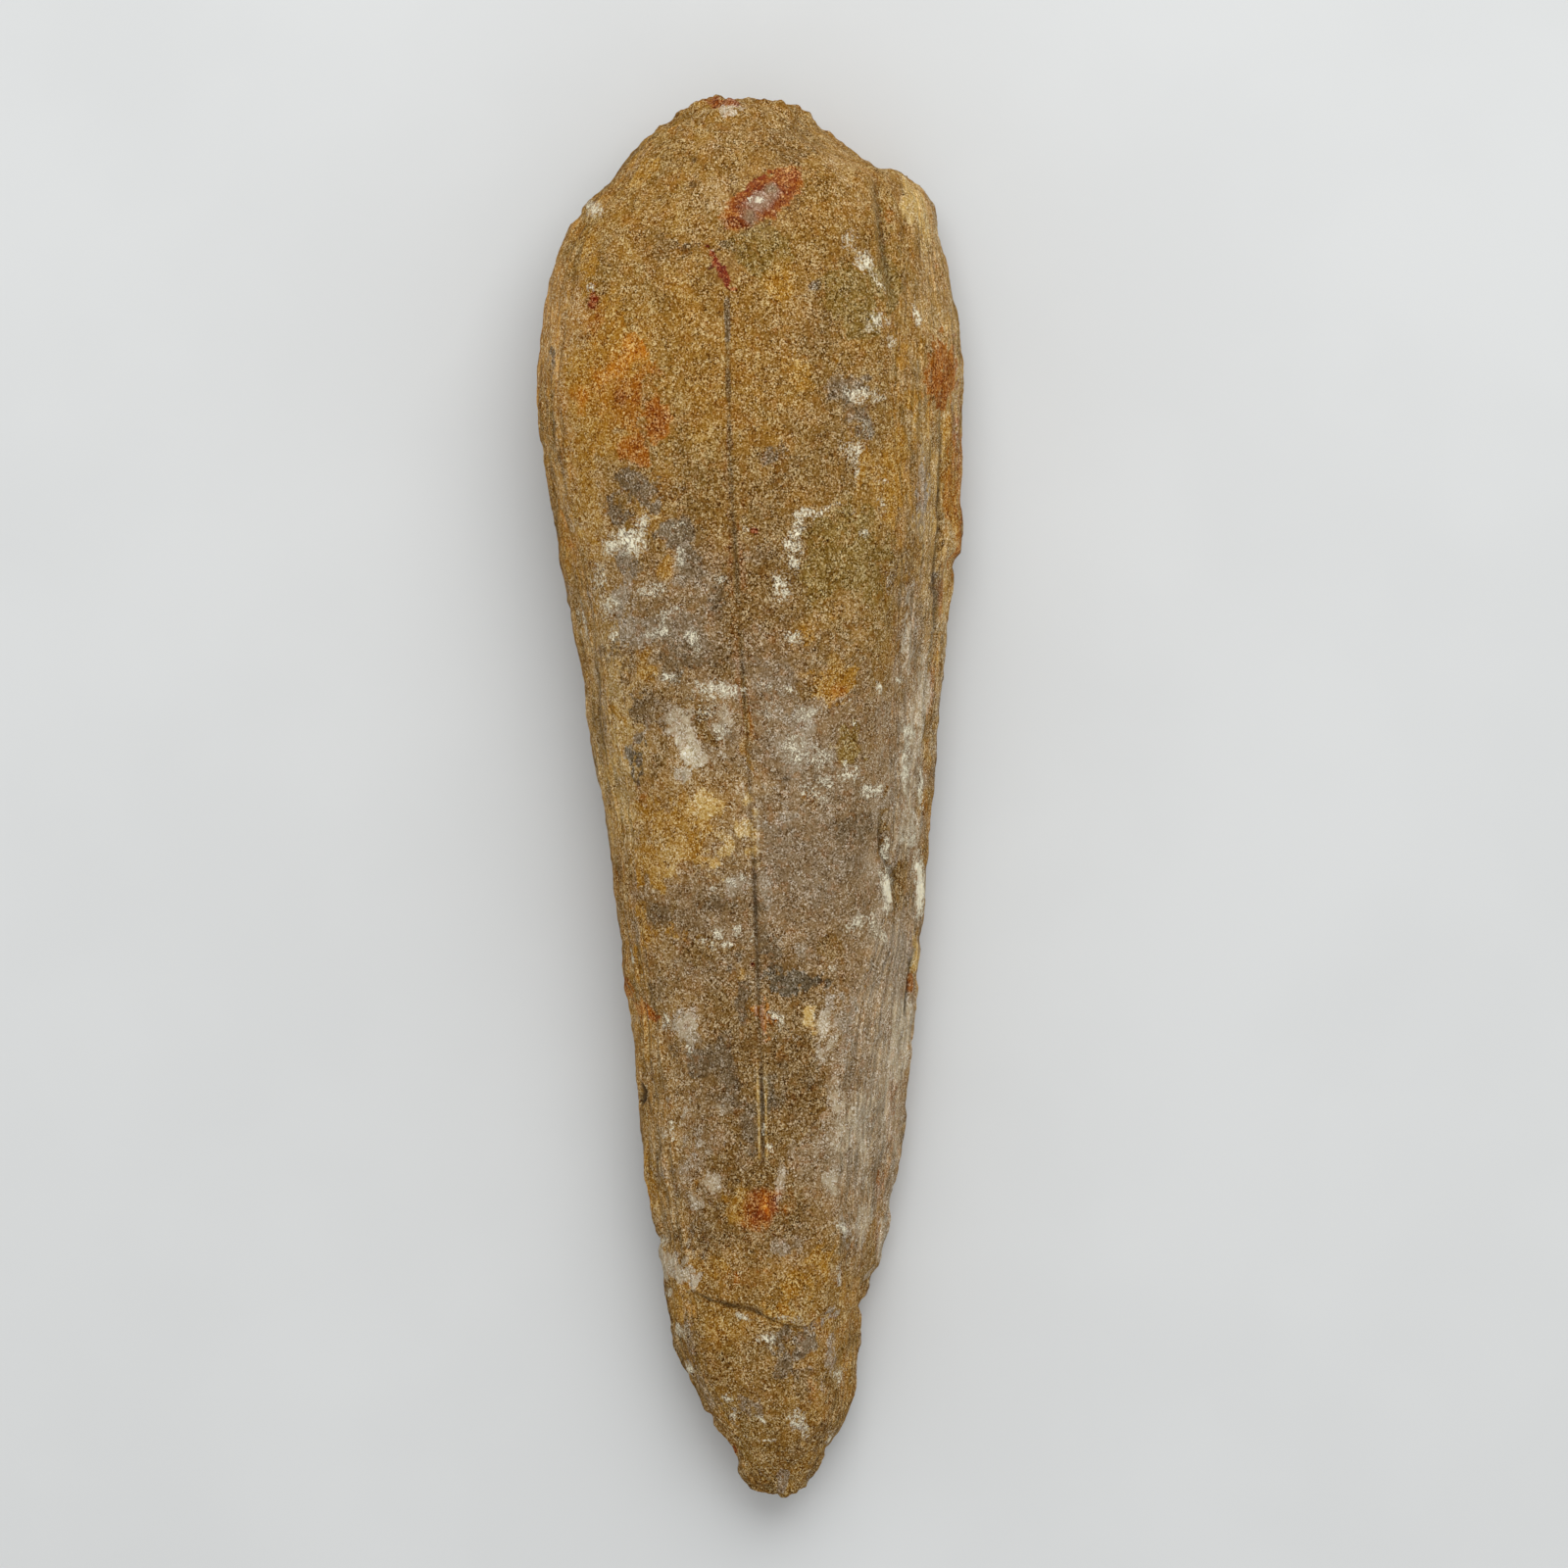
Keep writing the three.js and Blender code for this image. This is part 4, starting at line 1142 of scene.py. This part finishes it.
class Graph:
    """Adds and links nodes in a node tree."""

    def __init__(self, tree):
        self.tree = tree
        tree.nodes.clear()

    def add(self, kind, inputs=None, **properties):
        """A node of a kind, with its properties and its inputs set or linked by name or place."""
        node = self.tree.nodes.new(kind)
        for name, value in properties.items():
            setattr(node, name, value)
        for name, value in (inputs or {}).items():
            if isinstance(value, bpy.types.NodeSocket):
                self.tree.links.new(value, node.inputs[name])
            else:
                node.inputs[name].default_value = value
        return node

    def attribute(self, name, output="Fac"):
        """A value kept on the mesh."""
        return self.add("ShaderNodeAttribute", attribute_name=name).outputs[output]

    def math(self, operation, first, second=0.0, third=0.0):
        """One step of arithmetic."""
        node = self.add("ShaderNodeMath", {0: first, 1: second, 2: third}, operation=operation)
        return node.outputs[0]

    def scaled(self, value, factor, plus=0.0):
        """A value times a factor, plus another value."""
        return self.math("MULTIPLY_ADD", value, factor, plus)

    def product(self, value, *others):
        """Values multiplied together."""
        for other in others:
            value = self.math("MULTIPLY", value, other)
        return value

    def ramp(self, value, low, high, start=0.0, end=1.0):
        """A value brought smoothly from one range to another and kept inside it."""
        node = self.add(
            "ShaderNodeMapRange",
            {"Value": value, "From Min": low, "From Max": high, "To Min": start, "To Max": end},
            interpolation_type="SMOOTHSTEP",
        )
        return node.outputs["Result"]

    def mix(self, share, first, second, blend="MIX"):
        """Two colours mixed."""
        node = self.add(
            "ShaderNodeMix", {0: share, 6: first, 7: second}, data_type="RGBA", blend_type=blend
        )
        return node.outputs[2]

    def noise(self, where, scale, detail=2.0, roughness=0.5, distortion=0.0):
        """Soft noise around 0.5, whose largest features are 1/scale."""
        node = self.add(
            "ShaderNodeTexNoise",
            {
                "Vector": where,
                "Scale": scale,
                "Detail": detail,
                "Roughness": roughness,
                "Distortion": distortion,
            },
        )
        return node.outputs["Fac"]


def millimetres(graph, stretch=1.0):
    """Object coordinates in mm, with patterns stretched along the tooth."""
    place = graph.add("ShaderNodeTexCoord").outputs["Object"]
    scale = (1 / MM, 1 / (MM * stretch), 1 / MM)
    return graph.add("ShaderNodeMapping", {"Vector": place, "Scale": scale}).outputs["Vector"]


def veins(graph, where, scale, width, distortion, detail):
    """1 along thin curling lines and 0 between them."""
    wave = graph.noise(where, scale, detail, 0.6, distortion)
    return graph.ramp(graph.math("ABSOLUTE", graph.math("SUBTRACT", wave, 0.5)), width, 0.0)


def cells(graph, where, scale):
    """Round cells: a chance value for each cell, and the distance from its middle."""
    voronoi = graph.add("ShaderNodeTexVoronoi", {"Vector": where, "Scale": scale})
    colours = graph.add("ShaderNodeSeparateColor", {"Color": voronoi.outputs["Color"]})
    return colours.outputs[0], voronoi.outputs["Distance"]


def broken_stains(graph, grain, mottle):
    """The stain over the bare ground, in ragged patches that follow the grain."""
    ragged = graph.scaled(mottle, 1.6, graph.scaled(grain, 0.9, -1.25))
    cover = graph.ramp(graph.scaled(graph.attribute("stain_cover"), 1.3, ragged), 0.4, 0.85)
    return graph.mix(cover, graph.attribute("ground", "Color"), graph.attribute("stain", "Color"))


def flecks(graph, where, shade, gloss, settings):
    """Small ragged flecks of brown, dark and pale stone in the shade."""
    pattern = graph.add(
        "ShaderNodeTexNoise",
        {"Vector": where, "Scale": 0.8, "Detail": 4.0, "Roughness": 0.65, "Distortion": 0.6},
    )
    kinds = graph.add("ShaderNodeSeparateColor", {"Color": pattern.outputs["Color"]}).outputs
    dull = graph.math("SUBTRACT", 1.0, gloss)
    for kind, name, amount in zip(kinds, ("orange", "umber", "buff"), (0.2, 0.15, 0.12)):
        share = graph.product(graph.ramp(kind, 0.54, 0.62, 0.0, amount), dull)
        shade = graph.mix(share, shade, (*getattr(settings, name), 1.0))
    return shade


def grain_tone(graph, where, grain, mottle):
    """How light each grain is, around 0, with pale threads, painted shade in fine cracks, and pale
    specks that are partly painted glints.
    """
    patchy = graph.noise(where, 0.35, 3.0, 0.6)
    threads = veins(graph, where, 2.7, 0.055, 2.4, 3.0)
    threads = graph.product(threads, graph.ramp(patchy, 0.4, 0.6, 0.6))
    # Dark curling lines: painted shade in fine cracks.
    crevice_shade = veins(graph, where, 3.0, 0.055, 2.2, 3.0)
    crevice_shade = graph.product(crevice_shade, graph.ramp(patchy, 0.6, 0.4, 0.6))
    sand = cells(graph, where, SAND_SCALE)[0]
    # Rare bright specks: pale grains, partly painted glints.
    chance, from_middle = cells(graph, where, SPECK_SCALE)
    specks = graph.product(graph.ramp(chance, 0.955, 0.985), graph.ramp(from_middle, 0.4, 0.2))
    tone = 0.0
    for pattern, amount, plus in (
        (grain, 2.1, -1.05),
        (sand, 1.5, -0.75),
        (graph.noise(where, 0.45, 2.0, 0.6), 0.1, -0.05),
        (mottle, 0.1, -0.05),
        (threads, 0.75, -0.13),
        (crevice_shade, -0.85, 0.1),
        (specks, 1.6, 0.0),
    ):
        tone = graph.math("ADD", graph.scaled(pattern, amount, plus), tone)
    return tone


def grained(graph, where, shade, tone, gloss):
    """The shade with its light and dark grains. A power takes more from the weak blue than from
    the red, as grime between pale grains does."""
    accent = graph.scaled(graph.math("ABSOLUTE", tone), 1.1, 0.5)
    crispness = graph.ramp(graph.noise(where, 0.9, 3.0, 0.65), 0.37, 0.63, 0.45, 1.35)
    sandiness = graph.ramp(graph.attribute("smooth"), 0.2, 0.9, 1.0, 0.7)
    dullness = graph.scaled(gloss, -0.7, 1.0)
    tone = graph.product(tone, accent, crispness, sandiness, dullness)
    power = graph.math("MAXIMUM", graph.scaled(tone, -GRAIN_CONTRAST, STONE_POWER), LEAST_POWER)
    return graph.add("ShaderNodeGamma", {"Color": shade, "Gamma": power}).outputs["Color"]


def side_streaks(graph):
    """Fine streaks along the layers of the sides, and how far each point is on the sides."""
    fibre = graph.attribute("fibre", "Vector")
    on_side = graph.add("ShaderNodeSeparateXYZ", {"Vector": fibre}).outputs["Z"]
    lengthwise = graph.add("ShaderNodeMapping", {"Vector": fibre, "Scale": (2.4, 0.12, 0.0)})
    return graph.noise(lengthwise.outputs["Vector"], 1.0, 6.0, 0.75), on_side


def crust_on(graph, where):
    """How much crust covers the stone: crisp veins and specks that close up where it is thick."""
    cover = graph.attribute("crust_cover")
    crust = graph.scaled(graph.noise(where, 1.7, 5.0, 0.8, 0.8), 3.0, -2.75)
    for pattern, amount in (
        (veins(graph, where, 0.9, 0.06, 1.4, 4.0), 0.8),
        (veins(graph, where, 2.0, 0.08, 1.2, 4.0), 0.6),
        (cover, 1.5),
    ):
        crust = graph.scaled(pattern, amount, crust)
    gaps = graph.ramp(graph.noise(where, 2.3, 3.0, 0.7, 0.8), 0.43, 0.51, 0.05, 1.0)
    return graph.product(graph.ramp(crust, 0.0, 0.12), gaps, graph.ramp(cover, 0.03, 0.25))


def crust_shade(graph, where, grain, settings):
    """The crust's colour: white, grey in parts, with painted shade between its grains."""
    greyish = graph.ramp(graph.noise(where, 0.7, 4.0, 0.7), 0.45, 0.6, 0.0, 0.3)
    white = graph.mix(greyish, (*settings.crust, 1.0), (*settings.calcite, 1.0))
    return graph.mix(graph.ramp(grain, 0.3, 0.45, 0.4, 0.0), white, CRUST_GRAIN_SHADE)


def relief(graph, grain, mottle, crust, ridges):
    """Normals that show the small relief of grains, crust and streaks."""
    height = 0.0
    for pattern, amount in (
        (grain, GRAIN_RELIEF),
        (mottle, MOTTLE_RELIEF),
        (crust, CRUST_RELIEF),
        (ridges, STREAK_RELIEF),
    ):
        height = graph.scaled(pattern, amount, height)
    bump = graph.add("ShaderNodeBump", {"Height": height, "Strength": 0.8, "Distance": MM})
    return bump.outputs["Normal"]


def stained_stone(settings):
    """Iron-stained stone: stains that break up into grains, streaked sides and white crust."""
    material = bpy.data.materials.new("iron_stained_stone")
    material.use_nodes = True
    graph = Graph(material.node_tree)
    where = millimetres(graph, 1.2)
    grain = graph.noise(where, GRAIN_SCALE, 2.0, 0.65, 0.5)
    mottle = graph.noise(where, MOTTLE_SCALE, 4.0, 0.65, 0.8)
    gloss = graph.attribute("gloss")
    shade = broken_stains(graph, grain, mottle)
    shade = flecks(graph, where, shade, gloss, settings)
    shade = grained(graph, where, shade, grain_tone(graph, where, grain, mottle), gloss)
    streaks, on_side = side_streaks(graph)
    streaked = graph.mix(1.0, shade, graph.ramp(streaks, 0.27, 0.73, 0.52, 1.5), "MULTIPLY")
    shade = graph.mix(on_side, shade, streaked)
    # Painted shade in the hollows, cracks and drops that the carving marked.
    shade = graph.mix(graph.scaled(graph.attribute("hollow_shade"), 0.85), shade, CAVITY_DARK)
    crust = crust_on(graph, where)
    shade = graph.mix(crust, shade, crust_shade(graph, where, grain, settings))
    stone = graph.add(
        "ShaderNodeBsdfPrincipled",
        {
            "Base Color": shade,
            "Roughness": graph.scaled(gloss, -0.5, 0.8),
            "Specular IOR Level": 0.05,
            "Coat Weight": graph.scaled(gloss, 0.25),
            "Coat Roughness": 0.3,
            "Normal": relief(graph, grain, mottle, crust, graph.product(streaks, on_side)),
        },
    )
    graph.add("ShaderNodeOutputMaterial", {"Surface": stone.outputs["BSDF"]})
    return material


def table_top(settings):
    """A smooth pale surface with the faintest mottling."""
    material = bpy.data.materials.new("pale_table")
    material.use_nodes = True
    graph = Graph(material.node_tree)
    mottle = graph.noise(millimetres(graph), 0.02, 3.0, 0.5)
    pale = (*settings.table_colour, 1.0)
    darker = (*[0.97 * channel for channel in settings.table_colour], 1.0)
    shade = graph.mix(graph.ramp(mottle, 0.35, 0.65), darker, pale)
    surface = graph.add("ShaderNodeBsdfPrincipled", {"Base Color": shade, "Roughness": 0.6})
    graph.add("ShaderNodeOutputMaterial", {"Surface": surface.outputs["BSDF"]})
    return material


# ---------------------------------------------------------------------------------------------
# Operators
# ---------------------------------------------------------------------------------------------


class FOSSIL_OT_make_tooth(bpy.types.Operator):
    """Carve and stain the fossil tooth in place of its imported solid"""

    bl_idname = "fossil.make_tooth"
    bl_label = "Make Tooth"
    bl_options = {"REGISTER", "UNDO"}

    def execute(self, context):
        settings = context.scene.fossil_tooth
        bm = packed_skin()
        refine(bm)
        mesh = bpy.data.meshes.new("fossil_tooth")
        bm.to_mesh(mesh)
        bm.free()
        skin = Skin(mesh)
        layers, strips = carve(skin, settings)
        stain(skin, mesh, settings, layers, strips)
        settle(skin, mesh)
        mesh.shade_smooth()
        mesh.materials.append(stained_stone(settings))
        tooth = bpy.data.objects.new("fossil_tooth", mesh)
        context.scene.collection.objects.link(tooth)
        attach(tooth, "root")
        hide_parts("tooth")
        return {"FINISHED"}


class FOSSIL_OT_make_stage(bpy.types.Operator):
    """Set out the pale table, the soft light and the camera that looks straight down"""

    bl_idname = "fossil.make_stage"
    bl_label = "Make Stage"
    bl_options = {"REGISTER", "UNDO"}

    def execute(self, context):
        settings = context.scene.fossil_stage
        self.lay_table(context, settings)
        self.hang_lamp(context, settings)
        self.light_room(context, settings)
        self.aim_camera(context)
        context.scene.view_settings.view_transform = "Standard"
        return {"FINISHED"}

    def lay_table(self, context, settings):
        """The table, as wide as any view needs."""
        bm = bmesh.new()
        bmesh.ops.create_grid(bm, x_segments=4, y_segments=4, size=TABLE_SIZE / 2)
        mesh = bpy.data.meshes.new("table")
        bm.to_mesh(mesh)
        bm.free()
        mesh.materials.append(table_top(settings))
        table = bpy.data.objects.new("table", mesh)
        context.scene.collection.objects.link(table)

    def hang_lamp(self, context, settings):
        """The large soft lamp, turned towards the tooth."""
        light = bpy.data.lights.new("lamp", "AREA")
        light.shape = "SQUARE"
        light.size = settings.lamp_size
        light.energy = settings.lamp_power
        lamp = bpy.data.objects.new("lamp", light)
        lamp.location = LAMP_PLACE
        lamp.rotation_euler = Vector(LAMP_PLACE).to_track_quat("Z", "Y").to_euler()
        context.scene.collection.objects.link(lamp)

    def light_room(self, context, settings):
        """Even white light from all round."""
        world = bpy.data.worlds.new("room")
        world.use_nodes = True
        background = world.node_tree.nodes["Background"]
        background.inputs["Color"].default_value = (1.0, 1.0, 1.0, 1.0)
        background.inputs["Strength"].default_value = settings.room_light
        context.scene.world = world

    def aim_camera(self, context):
        """The camera, which looks straight down without being turned."""
        camera = bpy.data.cameras.new("camera")
        camera.lens = CAMERA_LENS
        camera.sensor_width = CAMERA_SENSOR
        camera.clip_end = CAMERA_REACH
        holder = bpy.data.objects.new("camera", camera)
        holder.location = CAMERA_PLACE
        context.scene.collection.objects.link(holder)
        context.scene.camera = holder


class FOSSIL_PT_panel(bpy.types.Panel):
    """The fossil tooth's settings and the buttons that make it"""

    bl_idname = "FOSSIL_PT_panel"
    bl_label = "Dinosaur Tooth Fossil"
    bl_space_type = "VIEW_3D"
    bl_region_type = "UI"
    bl_category = "Fossil"

    def draw(self, context):
        for settings, operator in (
            (context.scene.fossil_tooth, FOSSIL_OT_make_tooth),
            (context.scene.fossil_stage, FOSSIL_OT_make_stage),
        ):
            box = self.layout.box()
            for name in settings.__annotations__:
                box.prop(settings, name)
            box.operator(operator.bl_idname)


CLASSES = (
    ToothSettings,
    StageSettings,
    FOSSIL_OT_make_tooth,
    FOSSIL_OT_make_stage,
    FOSSIL_PT_panel,
)


def register():
    for cls in CLASSES:
        bpy.utils.register_class(cls)
    bpy.types.Scene.fossil_tooth = bpy.props.PointerProperty(type=ToothSettings)
    bpy.types.Scene.fossil_stage = bpy.props.PointerProperty(type=StageSettings)


def unregister():
    del bpy.types.Scene.fossil_stage
    del bpy.types.Scene.fossil_tooth
    for cls in reversed(CLASSES):
        bpy.utils.unregister_class(cls)


def main():
    register()
    bpy.ops.fossil.make_tooth()
    bpy.ops.fossil.make_stage()


if __name__ == "__main__":
    main()
